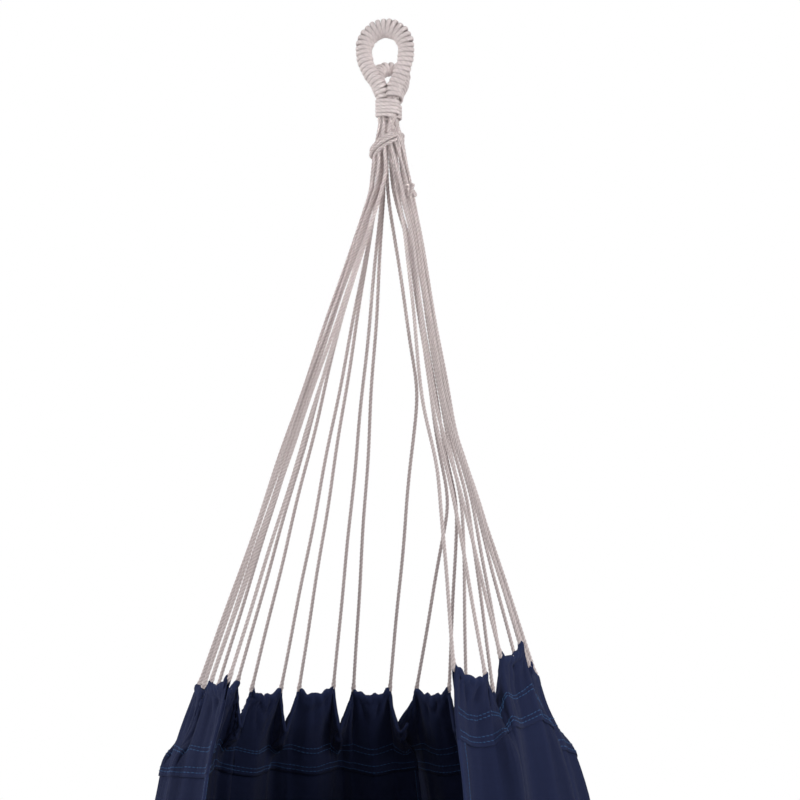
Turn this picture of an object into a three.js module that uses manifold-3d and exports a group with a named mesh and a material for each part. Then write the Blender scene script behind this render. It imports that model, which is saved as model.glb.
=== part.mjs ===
// A hammock chair: a cotton seat cloth whose two ends hang on cord loops from two whipped eyes.
// Millimetres, +Z up, front towards -Y.
// The origin is the inside top of the front eye, where a hook carries the chair.

import * as THREE from "three";
import { mergeVertices } from "three/addons/utils/BufferGeometryUtils.js";
import Module from "manifold-3d";

const wasm = await Module();
wasm.setup();

// Clearances
const touchGap = 0.4;
const mergeDistance = 0.001;

// Cords
const cordDiameter = 5;
const whippingDiameter = 4;
const windingGap = 0.8;

// Eyes: the centreline of each is a half circle on two legs that taper into the neck
const frontEyeHalfWidth = 28.3;
const rearEyeHalfWidth = 19.5;
const eyeCoreRadius = 5.8;
const frontEyeSwell = 1.8;
const rearEyeSwell = 0;
const rearEyeLean = THREE.MathUtils.degToRad(40);
const rearEyeTurn = THREE.MathUtils.degToRad(12);
const frontEyeTurns = 22;
const rearEyeTurns = 16;
const eyeTurnSteps = 10;
const whippedHeight = 16; // the eye's whipping starts this far above the neck's top

// Necks
const neckTopDrop = 78;
const neckHalfWidth = 12.5;
const neckHalfDepth = 7.5;
const neckSpacing = 26;
const frontNeckOffset = 1.5;
const rearNeckOffset = -1;
const neckTurns = 7;
const neckTurnSteps = 12;
const neckTurnPitch = 5;

// Joints
const swingAxisDrop = 115;
const swingRadius = 24;
const swayAxisDrop = 142;
const swayAxisX = 1;
const swayRadius = 34;

// Hitch
const hitchDrop = 141;
const hitchHalfWidth = 22.5;
const hitchHalfDepth = 28.2;
const hitchStandOff = 3.2; // in front and behind the hitch stands off its bundle, clear of the swinging necks
const hitchCentreX = 0;
const hitchSlant = THREE.MathUtils.degToRad(31);
const hitchTurns = 2;
const hitchPitch = 7;
const hitchTurnSteps = 24;

// Fan of cords
const loopsPerEnd = 7;
const fanTopDrop = 176;
const fanTopX = 2;
const innerRingRadius = 16.5;
const outerRingRadius = 23.5;
const cordTopRise = 16; // how far the cords run on above the fan's top before the joint trims them
const gatherShift = 60;
const cordBendRadius = 3.2;
const cordBendSteps = 2;

// Knot
const knotDrop = 206;
const knotRadius = 5;
const knotLength = 18;

// Hem
const hemDrop = 850;
const hemRadius = 221;
const hemCentreX = -12;
const hemCentreY = -50;
const openingHalfAngle = THREE.MathUtils.degToRad(41.5);
const backHalfGap = THREE.MathUtils.degToRad(1.2);
const tunnelShare = 0.64; // of a tunnel and its notch, the part that is the tunnel
const notchCloth = 92; // cloth in one notch, measured along the hem
const notchSag = 52;
const hemRise = 55;
const pleatDepth = 28;
const lowPleatDepth = 19; // under the seat

// Hem casing
const tunnelDepth = 9;
const casingDepth = 106;
const casingThickness = 1.2;
const tunnelClearance = 0.8;
const layerGap = 0.5;

// Seat cloth
const clothThickness = 1.5;
const clothDrop = 710;
const bellyDrop = 330;
const bellyHalfWidth = 275;
const seatHalfDepth = 385;
const seatLift = 130;
const bottomShiftX = 24;
const bottomShiftY = 50;

const up = new THREE.Vector3(0, 0, 1);
const cordRadius = cordDiameter / 2;
const whippingRadius = whippingDiameter / 2;
const neckMiddleY = neckSpacing / 2;

function vec(x, y, z) {
  return new THREE.Vector3(x, y, z);
}

function smooth(share) {
  const held = THREE.MathUtils.clamp(share, 0, 1);
  return held * held * (3 - 2 * held);
}

// A closed skin through rings of points, capped at both ends.
// Where keys number the points of a ring, each cell's diagonal follows the keys,
// so layers with the same keys run alike.
function loft(rings, keys) {
  const count = rings[0].length;
  const index = [];
  const at = (ring, i) => ring * count + (i % count);
  for (let ring = 0; ring < rings.length - 1; ring++) {
    for (let i = 0; i < count; i++) {
      const corner = [at(ring, i), at(ring, i + 1), at(ring + 1, i + 1), at(ring + 1, i)];
      const [a, b, c, d] = corner;
      const rising = keys && keys[(i + 1) % count] > keys[i];
      index.push(...(rising ? [a, b, c, a, c, d] : [a, b, d, b, c, d]));
    }
  }
  const last = (rings.length - 1) * count;
  let low = 0;
  let high = count - 1;
  while (low + 1 < high) {
    index.push(low + 1, low, high, last + low, last + low + 1, last + high);
    low++;
    if (low + 1 < high) {
      index.push(high - 1, low, high, last + low, last + high - 1, last + high);
      high--;
    }
  }
  const positions = rings.flat().flatMap((p) => [p.x, p.y, p.z]);
  return outward(new THREE.Float32BufferAttribute(positions, 3), index);
}

// A geometry whose faces point out, whichever way its rings ran.
function outward(positions, index) {
  const [a, b, c] = [vec(0, 0, 0), vec(0, 0, 0), vec(0, 0, 0)];
  let volume = 0;
  for (let i = 0; i < index.length; i += 3) {
    a.fromBufferAttribute(positions, index[i]);
    b.fromBufferAttribute(positions, index[i + 1]);
    c.fromBufferAttribute(positions, index[i + 2]);
    volume += a.dot(b.cross(c));
  }
  const geometry = new THREE.BufferGeometry();
  geometry.setAttribute("position", positions);
  geometry.setIndex(volume < 0 ? [...index].reverse() : index);
  geometry.computeVertexNormals();
  return geometry;
}

// A round tube along a list of points. radials, where given, are the first axis of each ring.
function tube(points, radiusAt, sides, radials) {
  const steps = points.slice(1).map((p, i) => p.clone().sub(points[i]).normalize());
  let axis = vec(1, 0, 0);
  const rings = points.map((point, i) => {
    const before = steps[Math.max(i - 1, 0)];
    const after = steps[Math.min(i, steps.length - 1)];
    const tangent = before.clone().add(after).normalize();
    axis = (radials ? radials[i] : axis).clone();
    axis.addScaledVector(tangent, -axis.dot(tangent)).normalize();
    const side = tangent.clone().cross(axis);
    const radius = radiusAt(i / (points.length - 1));
    return Array.from({ length: sides }, (_, k) => {
      const turn = (k / sides) * 2 * Math.PI;
      const spoke = axis.clone().multiplyScalar(Math.cos(turn)).addScaledVector(side, Math.sin(turn));
      return point.clone().addScaledVector(spoke, radius);
    });
  });
  return loft(rings);
}

// An upright stack of ovals, each {x, y, z, halfWidth, halfDepth}.
function ovalStack(levels, sides) {
  const ring = (level) =>
    Array.from({ length: sides }, (_, k) => {
      const turn = (k / sides) * 2 * Math.PI;
      return vec(
        level.x + level.halfWidth * Math.cos(turn),
        level.y + level.halfDepth * Math.sin(turn),
        level.z,
      );
    });
  return loft(levels.map(ring));
}

// A path with an arc in place of each sharp corner.
function rounded(corners, bendRadius, steps, sharpAngle) {
  const path = [corners[0]];
  for (let i = 1; i < corners.length - 1; i++) {
    const back = corners[i - 1].clone().sub(corners[i]).normalize();
    const on = corners[i + 1].clone().sub(corners[i]).normalize();
    const half = back.angleTo(on) / 2;
    if (Math.PI - 2 * half < sharpAngle) {
      path.push(corners[i]);
      continue;
    }
    const middle = back.clone().add(on).normalize();
    const centre = corners[i].clone().addScaledVector(middle, bendRadius / Math.sin(half));
    const reach = bendRadius / Math.tan(half);
    const from = corners[i].clone().addScaledVector(back, reach).sub(centre);
    const to = corners[i].clone().addScaledVector(on, reach).sub(centre);
    const sweep = from.angleTo(to);
    for (let s = 0; s <= steps; s++) {
      const share = s / steps;
      const arm = from.clone().multiplyScalar(Math.sin((1 - share) * sweep) / Math.sin(sweep));
      arm.addScaledVector(to, Math.sin(share * sweep) / Math.sin(sweep));
      path.push(centre.clone().add(arm));
    }
  }
  path.push(corners[corners.length - 1]);
  return path;
}

// The least gap of a wound tube to itself, on points along its centreline.
function leastGap(points, radius, turnSteps) {
  const between = 4;
  const fine = [];
  for (let i = 0; i < points.length - 1; i++) {
    for (let k = 0; k < between; k++) fine.push(points[i].clone().lerp(points[i + 1], k / between));
  }
  const apart = (turnSteps * between) / 2;
  let least = Infinity;
  for (let i = 0; i < fine.length; i++) {
    for (let j = i + apart; j < fine.length; j++) least = Math.min(least, fine[i].distanceTo(fine[j]));
  }
  return least - 2 * radius;
}

function solidOf(geometry) {
  const bare = new THREE.BufferGeometry();
  bare.setAttribute("position", geometry.getAttribute("position"));
  bare.setIndex(geometry.getIndex());
  const merged = mergeVertices(bare, mergeDistance);
  return new wasm.Manifold(
    new wasm.Mesh({
      numProp: 3,
      vertProperties: merged.getAttribute("position").array,
      triVerts: new Uint32Array(merged.getIndex().array),
    }),
  );
}

function geometryOf(solid) {
  const mesh = solid.getMesh();
  const geometry = new THREE.BufferGeometry();
  geometry.setAttribute("position", new THREE.BufferAttribute(mesh.vertProperties, 3));
  geometry.setIndex(new THREE.BufferAttribute(mesh.triVerts, 1));
  geometry.computeVertexNormals();
  return geometry;
}

// Materials
const cottonCord = new THREE.MeshStandardMaterial({ color: 0xd6cbc9, roughness: 0.9, metalness: 0 });
const navyCloth = new THREE.MeshStandardMaterial({ color: 0x252e56, roughness: 0.95, metalness: 0 });
const navyCasing = new THREE.MeshStandardMaterial({ color: 0x2b3766, roughness: 0.95, metalness: 0 });

function piece(name, geometry, material) {
  const mesh = new THREE.Mesh(geometry, material);
  mesh.name = name;
  return mesh;
}

// Joint surfaces: round drums about each axis, a little larger for the side that stays outside
const drumSides = 64;
const drumLength = 2 * (hemDrop + clothDrop);

function swingDrum(radius) {
  const drum = new THREE.CylinderGeometry(radius, radius, drumLength, drumSides);
  drum.rotateZ(Math.PI / 2);
  drum.translate(0, neckMiddleY, -swingAxisDrop);
  return solidOf(drum);
}

function swayDrum(radius) {
  const drum = new THREE.CylinderGeometry(radius, radius, drumLength, drumSides);
  drum.translate(swayAxisX, 0, -swayAxisDrop);
  return solidOf(drum);
}

// Everything above an axis, so that a piece is trimmed only below it.
function above(drop) {
  const block = new THREE.BoxGeometry(drumLength, drumLength, drumLength);
  block.translate(0, 0, drumLength / 2 - drop);
  return solidOf(block);
}

// Eyes
const neckLegOffset = neckHalfWidth - eyeCoreRadius;

// Half width of an eye's legs between the half circle, at 0, and the neck, at 1
const legTaperShares = [
  [0.18, 0.96],
  [0.42, 0.76],
  [0.66, 0.38],
  [0.84, 0.11],
  [1, 0],
];

function eyeGuide(eye) {
  const top = eyeCoreRadius + eye.swell + windingGap + whippingDiameter;
  const crown = top - eye.halfWidth;
  const arcSteps = 6;
  const half = [];
  for (let i = 0; i < arcSteps; i++) {
    const turn = ((i / arcSteps) * Math.PI) / 2;
    half.push([eye.halfWidth * Math.sin(turn), crown + eye.halfWidth * Math.cos(turn), 0]);
  }
  half.push([eye.halfWidth, crown, 0]);
  for (const [down, wide] of legTaperShares) {
    const x = neckLegOffset + (eye.halfWidth - neckLegOffset) * wide;
    half.push([x, crown - (crown + neckTopDrop) * down, down]);
  }
  half.push([neckLegOffset, -neckTopDrop - eyeCoreRadius, 1]);
  const place = (side) => ([x, z, down]) => {
    const height = Math.max(0, z + neckTopDrop);
    const below = Math.min(0, z + neckTopDrop);
    return vec(
      side * x + eye.shift * smooth(down),
      height * Math.sin(eye.lean),
      -neckTopDrop + height * Math.cos(eye.lean) + below,
    );
  };
  const points = [...half.slice(1).reverse().map(place(-1)), ...half.map(place(1))];
  return new THREE.CatmullRomCurve3(points, false, "centripetal");
}

// The share of the guide's length at which it passes a height above the neck's top.
function guideShareAt(guide, height, lean) {
  const samples = 400;
  for (let i = 0; i < samples; i++) {
    const point = guide.getPointAt(i / samples);
    if ((point.z + neckTopDrop) / Math.cos(lean) > height) return i / samples;
  }
  return 0;
}

function eyeSwellAt(eye, share) {
  return eye.swell * Math.sin(Math.PI * share) ** 4;
}

function eyeWhippingPath(eye) {
  const guide = eyeGuide(eye);
  const start = guideShareAt(guide, whippedHeight, eye.lean);
  const steps = eye.turns * eyeTurnSteps;
  const across = vec(0, -Math.cos(eye.lean), Math.sin(eye.lean));
  const points = [];
  const radials = [];
  for (let i = 0; i <= steps; i++) {
    const share = start + (1 - 2 * start) * (i / steps);
    const centre = guide.getPointAt(share);
    const tangent = guide.getTangentAt(share);
    const inPlane = across.clone().cross(tangent).normalize();
    const turn = (i / eyeTurnSteps) * 2 * Math.PI;
    const spoke = inPlane.multiplyScalar(Math.cos(turn)).addScaledVector(across, Math.sin(turn));
    const radius = eyeCoreRadius + eyeSwellAt(eye, share) + windingGap + whippingRadius;
    points.push(centre.addScaledVector(spoke, radius));
    radials.push(spoke);
  }
  return { points, radials };
}

function neckWhippingPath() {
  const steps = neckTurns * neckTurnSteps;
  const halfWidth = neckHalfWidth + windingGap + whippingRadius;
  const halfDepth = neckHalfDepth + windingGap + whippingRadius;
  const points = [];
  const radials = [];
  for (let i = 0; i <= steps; i++) {
    const turn = (i / neckTurnSteps) * 2 * Math.PI;
    const z = -neckTopDrop - whippingRadius - (i / neckTurnSteps) * neckTurnPitch;
    points.push(vec(halfWidth * Math.sin(turn), -halfDepth * Math.cos(turn), z));
    radials.push(vec(halfDepth * Math.sin(turn), -halfWidth * Math.cos(turn), 0).normalize());
  }
  return { points, radials };
}

// One eye with its neck, and the cords wound round both, in its own place.
function eyePieces(eye) {
  const place = new THREE.Matrix4().makeRotationZ(eye.turn);
  place.setPosition(eye.x, eye.y, 0);
  const coreSteps = 34;
  const loopCore = tube(
    eyeGuide(eye).getSpacedPoints(coreSteps),
    (share) => eyeCoreRadius + eyeSwellAt(eye, share),
    8,
  );
  const level = (drop) => ({
    x: eye.shift,
    y: 0,
    z: -drop,
    halfWidth: neckHalfWidth,
    halfDepth: neckHalfDepth,
  });
  const neckCore = ovalStack([level(neckTopDrop), level(swingAxisDrop + swingRadius + cordDiameter)], 20);
  const core = solidOf(loopCore.applyMatrix4(place))
    .add(solidOf(neckCore.applyMatrix4(place)))
    .intersect(swingDrum(swingRadius).add(above(swingAxisDrop)));
  const eyeWhipping = eyeWhippingPath(eye);
  const neckWhipping = neckWhippingPath();
  const wound = (path) => tube(path.points, () => whippingRadius, 5, path.radials);
  console.log(`${eye.name} eye whipping, least gap to itself: ${gapText(eyeWhipping.points, eyeTurnSteps)}`);
  console.log(`${eye.name} neck whipping, least gap to itself: ${gapText(neckWhipping.points, neckTurnSteps)}`);
  return [
    piece(`${eye.name}_eye_core`, geometryOf(core), cottonCord),
    piece(`${eye.name}_eye_whipping`, wound(eyeWhipping).applyMatrix4(place), cottonCord),
    piece(
      `${eye.name}_neck_whipping`,
      wound(neckWhipping).translate(eye.shift, 0, 0).applyMatrix4(place),
      cottonCord,
    ),
  ];
}

function gapText(points, turnSteps) {
  return `${leastGap(points, whippingRadius, turnSteps).toFixed(2)} mm`;
}

const frontEye = {
  name: "front",
  x: 0,
  y: 0,
  shift: frontNeckOffset,
  halfWidth: frontEyeHalfWidth,
  swell: frontEyeSwell,
  lean: 0,
  turn: 0,
  turns: frontEyeTurns,
};

const rearEye = {
  name: "rear",
  x: rearNeckOffset,
  y: neckSpacing,
  shift: 0,
  halfWidth: rearEyeHalfWidth,
  swell: rearEyeSwell,
  lean: rearEyeLean,
  turn: rearEyeTurn,
  turns: rearEyeTurns,
};

// Gathered cords and their hitch
function gatheredCords() {
  const bundleHalfWidth = hitchHalfWidth - cordRadius - 1.5 * touchGap;
  const bundleHalfDepth = hitchHalfDepth - cordRadius - 1.5 * touchGap - hitchStandOff;
  const hitchReach = hitchHalfWidth * Math.tan(hitchSlant) + hitchPitch;
  const fanHalf = outerRingRadius + cordDiameter;
  const necks = {
    x: (frontNeckOffset + rearNeckOffset) / 2,
    y: neckMiddleY,
    z: -swingAxisDrop,
    halfWidth: neckHalfWidth + cordRadius,
    halfDepth: neckMiddleY + neckHalfDepth,
  };
  const held = { x: hitchCentreX, y: neckMiddleY, halfWidth: bundleHalfWidth, halfDepth: bundleHalfDepth };
  const fanned = { x: fanTopX, y: neckMiddleY, halfWidth: fanHalf, halfDepth: fanHalf };
  const levels = [
    necks,
    { ...held, z: -hitchDrop + hitchReach },
    { ...held, z: -hitchDrop - hitchReach },
    { ...fanned, z: -hitchDrop - hitchReach - 2 * cordDiameter },
    { ...fanned, z: -swayAxisDrop - swayRadius - cordDiameter },
  ];
  const bundle = solidOf(ovalStack(levels, 24))
    .subtract(swingDrum(swingRadius + touchGap))
    .intersect(swayDrum(swayRadius).add(above(swayAxisDrop)));
  return geometryOf(bundle);
}

function hitchPath() {
  const steps = hitchTurns * hitchTurnSteps;
  const points = [];
  const radials = [];
  for (let i = 0; i <= steps; i++) {
    const turn = (i / hitchTurnSteps) * 2 * Math.PI;
    const x = hitchHalfWidth * Math.sin(turn);
    const y = -hitchHalfDepth * Math.cos(turn);
    const climb = hitchPitch * (i / hitchTurnSteps - hitchTurns / 2);
    points.push(vec(hitchCentreX + x, neckMiddleY + y, -hitchDrop + x * Math.tan(hitchSlant) + climb));
    radials.push(vec(hitchHalfDepth * Math.sin(turn), -hitchHalfWidth * Math.cos(turn), 0).normalize());
  }
  return { points, radials };
}

// Ends of the cloth. Each end's hem hangs in loopsPerEnd tunnels with a notch after each.
const leftEnd = { name: "left", side: -1, riseShares: [0.27, 0.09, 0, 0, 0, 0, 0], startsOutside: true };
const rightEnd = { name: "right", side: 1, riseShares: [0.64, 1, 0.5, 0.3, 0, 0, 0], startsOutside: false };

// Points of a tunnel, and of the notch after it: how far along it, how far down, how far out of the wall
const tunnelShares = [
  [0, 0, 0.1],
  [0.5, 0.12, -0.45],
  [1, 0, 0.1],
];
const notchShares = [[0.5, 1, 0.55]];
const stationsPerLoop = tunnelShares.length + notchShares.length;

function hemStations(end) {
  const pitch = (Math.PI - backHalfGap - openingHalfAngle) / (loopsPerEnd - (1 - tunnelShare) / 2);
  const tunnelLength = hemRadius * tunnelShare * pitch;
  const stations = [];
  let along = 0;
  for (let loop = 0; loop < loopsPerEnd; loop++) {
    const start = openingHalfAngle + loop * pitch;
    const finish = start + tunnelShare * pitch;
    const rise = hemRise * end.riseShares[loop];
    const nextRise = hemRise * (end.riseShares[loop + 1] ?? 0);
    for (const [share, sag, pleat] of tunnelShares) {
      const angle = start + share * (finish - start);
      stations.push({ angle, rise, sag, pleat, along: along + share * tunnelLength });
    }
    for (const [share, sag, pleat] of notchShares) {
      stations.push({
        angle: finish + share * (1 - tunnelShare) * pitch,
        rise: rise + (nextRise - rise) * share,
        sag,
        pleat,
        along: along + tunnelLength + share * notchCloth,
      });
    }
    along += tunnelLength + notchCloth;
  }
  const clothWidth = stations[stations.length - 1].along;
  return stations.map((station) => ({ ...station, widthShare: station.along / clothWidth }));
}

function halfWidthAt(drop) {
  if (drop <= bellyDrop) {
    return hemRadius + (bellyHalfWidth - hemRadius) * Math.sin(((drop / bellyDrop) * Math.PI) / 2);
  }
  const low = (drop - bellyDrop) / (clothDrop - bellyDrop);
  return bellyHalfWidth * Math.sqrt(Math.max(0, 1 - low * low));
}

// How deep the pleats are, and how far they lean down where the wall turns under the seat
function pleatAt(drop) {
  const down = drop / clothDrop;
  const low = smooth(2 * down - 1);
  const depth = pleatDepth * Math.sin(Math.PI * Math.sqrt(down)) * (1 - low) + lowPleatDepth * low;
  const under = Math.max(0, (drop - bellyDrop) / (clothDrop - bellyDrop));
  const upright = Math.sqrt(Math.max(0, 1 - under ** 2));
  const lean = Math.atan2(bellyHalfWidth * under, (clothDrop - bellyDrop) * upright);
  return { sideways: depth * Math.cos(lean), downward: depth * Math.sin(lean) };
}

// A station's angle at a drop below the hem. The front edges hang straight down as far as the belly.
function angleAt(station, drop) {
  const hang = halfWidthAt(Math.min(drop, bellyDrop));
  const opening = Math.asin((hemRadius * Math.sin(openingHalfAngle)) / hang);
  const share = (station.angle - openingHalfAngle) / (Math.PI - openingHalfAngle);
  return opening + (Math.PI - opening) * share;
}

function clothPoint(end, station, drop) {
  const down = drop / clothDrop;
  const rise = station.rise * (1 - down) ** 2;
  const sag = notchSag * station.sag * (1 - smooth(drop / casingDepth));
  const flatten = smooth((down - 0.35) / 0.65);
  const halfDepth = hemRadius + (seatHalfDepth - hemRadius) * Math.sin((down * Math.PI) / 2);
  const pleat = pleatAt(drop);
  const angle = angleAt(station, drop);
  const outX = Math.sin(angle);
  const outY = -Math.cos(angle);
  const halfWidth = halfWidthAt(drop) + pleat.sideways * station.pleat;
  const roundY = halfDepth * outY;
  const straightY = seatHalfDepth * (2 * station.widthShare - 1);
  const edge = (2 * station.widthShare - 1) ** 2;
  const wallY = roundY + (straightY - roundY) * flatten + pleat.sideways * station.pleat * outY;
  return vec(
    hemCentreX + bottomShiftX * smooth(down) + end.side * halfWidth * outX,
    hemCentreY + bottomShiftY * smooth(down) + wallY,
    -hemDrop - drop + rise - sag - pleat.downward * station.pleat + seatLift * flatten * edge,
  );
}

// Rows of the cloth from one hem, at 0, to the bottom
const rowDrops = [0, tunnelDepth, casingDepth, (casingDepth + bellyDrop) / 2];
const lowRowShares = [0, 0.25, 0.5, 0.75, 1]; // of the quarter turn from the belly to the bottom
for (const share of lowRowShares) {
  rowDrops.push(bellyDrop + (clothDrop - bellyDrop) * Math.sin((share * Math.PI) / 2));
}

// The grid of the whole cloth, by station and row, from the left hem under the seat to the right hem.
function clothGrid() {
  const left = hemStations(leftEnd);
  const right = hemStations(rightEnd);
  return left.map((station, column) => {
    const leftWall = rowDrops.map((drop) => clothPoint(leftEnd, station, drop));
    const rightWall = rowDrops.slice(0, -1).map((drop) => clothPoint(rightEnd, right[column], drop));
    return [...leftWall, ...rightWall.reverse()];
  });
}

function gridNormals(grid) {
  return grid.map((column, c) =>
    column.map((_, row) => {
      const before = grid[Math.max(c - 1, 0)][row];
      const after = grid[Math.min(c + 1, grid.length - 1)][row];
      const along = after.clone().sub(before);
      const down = column[Math.min(row + 1, column.length - 1)].clone().sub(column[Math.max(row - 1, 0)]);
      return along.cross(down).normalize();
    }),
  );
}

const grid = clothGrid();
const normals = gridNormals(grid);
const lastRow = grid[0].length - 1;

function offsetPoint(column, row, distance) {
  return grid[column][row].clone().addScaledVector(normals[column][row], distance);
}

function seatCloth() {
  const rows = Array.from({ length: lastRow - 1 }, (_, i) => i + 1);
  const back = [...rows].reverse();
  const rings = grid.map((_, column) => [
    ...rows.map((row) => offsetPoint(column, row, clothThickness / 2)),
    ...back.map((row) => offsetPoint(column, row, -clothThickness / 2)),
  ]);
  return loft(rings, [...rows, ...back]);
}

// A casing folded over the cords of one hem, with the cloth between its two layers.
function hemCasing(rows) {
  const [hemRow, ...sheetRows] = rows;
  const layer = clothThickness / 2 + layerGap;
  const foldSteps = 3;
  const facet = Math.cos(Math.PI / (2 * foldSteps));
  const bore = (cordRadius + tunnelClearance) / facet;
  const rising = [...sheetRows].reverse();
  const fold = (column, radius) => {
    const centre = grid[column][hemRow];
    const normal = normals[column][hemRow];
    const upward = centre.clone().sub(grid[column][sheetRows[0]]);
    upward.addScaledVector(normal, -upward.dot(normal)).normalize();
    return Array.from({ length: foldSteps + 1 }, (_, i) => {
      const turn = (i / foldSteps) * Math.PI;
      const spoke = normal.clone().multiplyScalar(Math.cos(turn)).addScaledVector(upward, Math.sin(turn));
      return centre.clone().addScaledVector(spoke, radius);
    });
  };
  const outer = layer + casingThickness;
  const rings = grid.map((_, column) => [
    ...rising.map((row) => offsetPoint(column, row, outer)),
    ...fold(column, bore + casingThickness),
    ...sheetRows.map((row) => offsetPoint(column, row, -outer)),
    ...rising.map((row) => offsetPoint(column, row, -layer)),
    ...fold(column, bore).reverse(),
    ...sheetRows.map((row) => offsetPoint(column, row, layer)),
  ]);
  const foldKeys = Array(foldSteps + 1).fill(hemRow);
  const half = [...rising, ...foldKeys, ...sheetRows];
  return loft(rings, [...half, ...half]);
}

// Cords. The right ones stay close together below the hitch: how far down, how far across, how wide the fan is.
const gatherShares = [
  [0.13, 0.24, 0.127],
  [0.28, 0.42, 0.154],
  [0.51, 0.7, 0.2],
  [0.63, 0.88, 0.28],
];

// The rearmost left leg is slack, and leaves the right cords halfway down.
const strayShares = [[0.41, 0.37, 0]];

// One leg of a loop, from the gathered cords down to the hem.
function legPath(end, station, hemPoint, outside, routeShares) {
  const ring = outside ? outerRingRadius : innerRingRadius;
  const outX = end.side * Math.sin(station.angle);
  const outY = -Math.cos(station.angle);
  const top = vec(fanTopX + ring * outX, neckMiddleY + ring * outY, -fanTopDrop);
  const path = [top.clone().addScaledVector(up, cordTopRise), top];
  for (const [down, across, wide] of routeShares) {
    const onLine = top.clone().lerp(hemPoint, down);
    const halfWidth = hemRadius * wide - (outerRingRadius - ring) * (1 - down);
    onLine.x = fanTopX + gatherShift * across + halfWidth * outX;
    path.push(onLine);
  }
  return path;
}

function cordCorners(end, loop) {
  const stations = hemStations(end);
  const first = loop * stationsPerLoop;
  const last = first + tunnelShares.length - 1;
  const hemRow = end.side < 0 ? 0 : lastRow;
  const inTunnel = grid.slice(first, last + 1).map((column) => column[hemRow]);
  const stray = end.side < 0 && loop === loopsPerEnd - 1 ? strayShares : [];
  const [startShares, finishShares] = end.side > 0 ? [gatherShares, gatherShares] : [[], stray];
  const down = legPath(end, stations[first], inTunnel[0], end.startsOutside, startShares);
  const back = legPath(end, stations[last], inTunnel[inTunnel.length - 1], !end.startsOutside, finishShares);
  return [...down, ...inTunnel, ...back.reverse()];
}

function cordLoop(end, loop, radius) {
  const sharpAngle = Math.PI / 6;
  const path = rounded(cordCorners(end, loop), cordBendRadius, cordBendSteps, sharpAngle);
  return tube(path, () => radius, 6);
}

function endPieces(end, rows) {
  const outsideSway = swayDrum(swayRadius + touchGap);
  let casing = solidOf(hemCasing(rows));
  const pieces = [];
  for (let loop = 0; loop < loopsPerEnd; loop++) {
    const cord = solidOf(cordLoop(end, loop, cordRadius)).subtract(outsideSway);
    casing = casing.subtract(solidOf(cordLoop(end, loop, cordRadius + touchGap)));
    pieces.push(piece(`${end.name}_cord_loop_${loop + 1}`, geometryOf(cord), cottonCord));
  }
  pieces.push(piece(`${end.name}_hem_casing`, geometryOf(casing), navyCasing));
  return pieces;
}

// A knot on the outermost right cord, just under the hitch.
function rightCordKnot() {
  const knottedLoop = 2;
  const corners = cordCorners(rightEnd, knottedLoop).reverse();
  const [, top, next] = corners;
  const direction = next.clone().sub(top).normalize();
  const centre = top.clone().addScaledVector(direction, (knotDrop - fanTopDrop) / -direction.z);
  const bore = cordRadius + touchGap;
  const half = knotLength / 2;
  const profile = [
    [bore, -half],
    [bore + 0.3 * knotRadius, -half],
    [knotRadius, -half * 0.5],
    [knotRadius, half * 0.5],
    [bore + 0.3 * knotRadius, half],
    [bore, half],
    [bore, -half],
  ];
  const turned = new THREE.LatheGeometry(profile.map(([r, z]) => new THREE.Vector2(r, z)), 12);
  const knot = piece("right_cord_knot", turned, cottonCord);
  knot.position.copy(centre);
  knot.quaternion.setFromUnitVectors(vec(0, 1, 0), direction.negate());
  return knot;
}

// Assembly: what stays on the hook, what swings forward and back, and what also sways sideways
const chair = new THREE.Group();
const eyes = new THREE.Group();
const hitch = new THREE.Group();
const seat = new THREE.Group();
chair.add(eyes, hitch, seat);

eyes.add(...eyePieces(frontEye), ...eyePieces(rearEye));

const hitchWinding = hitchPath();
hitch.add(
  piece("gathered_cords", gatheredCords(), cottonCord),
  piece("harness_hitch", tube(hitchWinding.points, () => cordRadius, 6, hitchWinding.radials), cottonCord),
);
console.log(
  `hitch, least gap to itself: ${leastGap(hitchWinding.points, cordRadius, hitchTurnSteps).toFixed(2)} mm`,
);

seat.add(
  ...endPieces(leftEnd, [0, 1, 2]),
  ...endPieces(rightEnd, [lastRow, lastRow - 1, lastRow - 2]),
  rightCordKnot(),
  piece("seat_cloth", seatCloth(), navyCloth),
);

export default chair;
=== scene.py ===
import logging
import math
from dataclasses import dataclass, field
from enum import Enum
from typing import Callable, Sequence

import bpy
import numpy as np
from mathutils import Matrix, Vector
from numpy.typing import NDArray


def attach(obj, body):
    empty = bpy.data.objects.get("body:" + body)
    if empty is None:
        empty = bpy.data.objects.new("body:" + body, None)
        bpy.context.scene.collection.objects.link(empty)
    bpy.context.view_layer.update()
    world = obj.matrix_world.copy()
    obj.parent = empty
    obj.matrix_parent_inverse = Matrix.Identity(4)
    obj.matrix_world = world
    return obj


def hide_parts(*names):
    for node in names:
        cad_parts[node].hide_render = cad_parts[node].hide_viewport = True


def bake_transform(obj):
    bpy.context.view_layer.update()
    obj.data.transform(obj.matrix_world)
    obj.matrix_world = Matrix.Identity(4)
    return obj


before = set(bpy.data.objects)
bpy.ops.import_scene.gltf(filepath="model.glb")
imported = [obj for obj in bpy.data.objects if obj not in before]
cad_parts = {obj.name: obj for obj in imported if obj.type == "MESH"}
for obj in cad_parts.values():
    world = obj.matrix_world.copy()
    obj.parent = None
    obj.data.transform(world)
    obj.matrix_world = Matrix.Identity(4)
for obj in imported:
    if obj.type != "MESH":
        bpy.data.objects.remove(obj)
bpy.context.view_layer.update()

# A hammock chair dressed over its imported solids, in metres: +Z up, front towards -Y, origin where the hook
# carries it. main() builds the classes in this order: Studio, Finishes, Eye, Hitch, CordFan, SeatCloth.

log = logging.getLogger("hammock_chair")
Array = NDArray[np.float64]
Colour = tuple[float, float, float, float]
Socket = bpy.types.NodeSocket
TURN = 2 * math.pi


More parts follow.
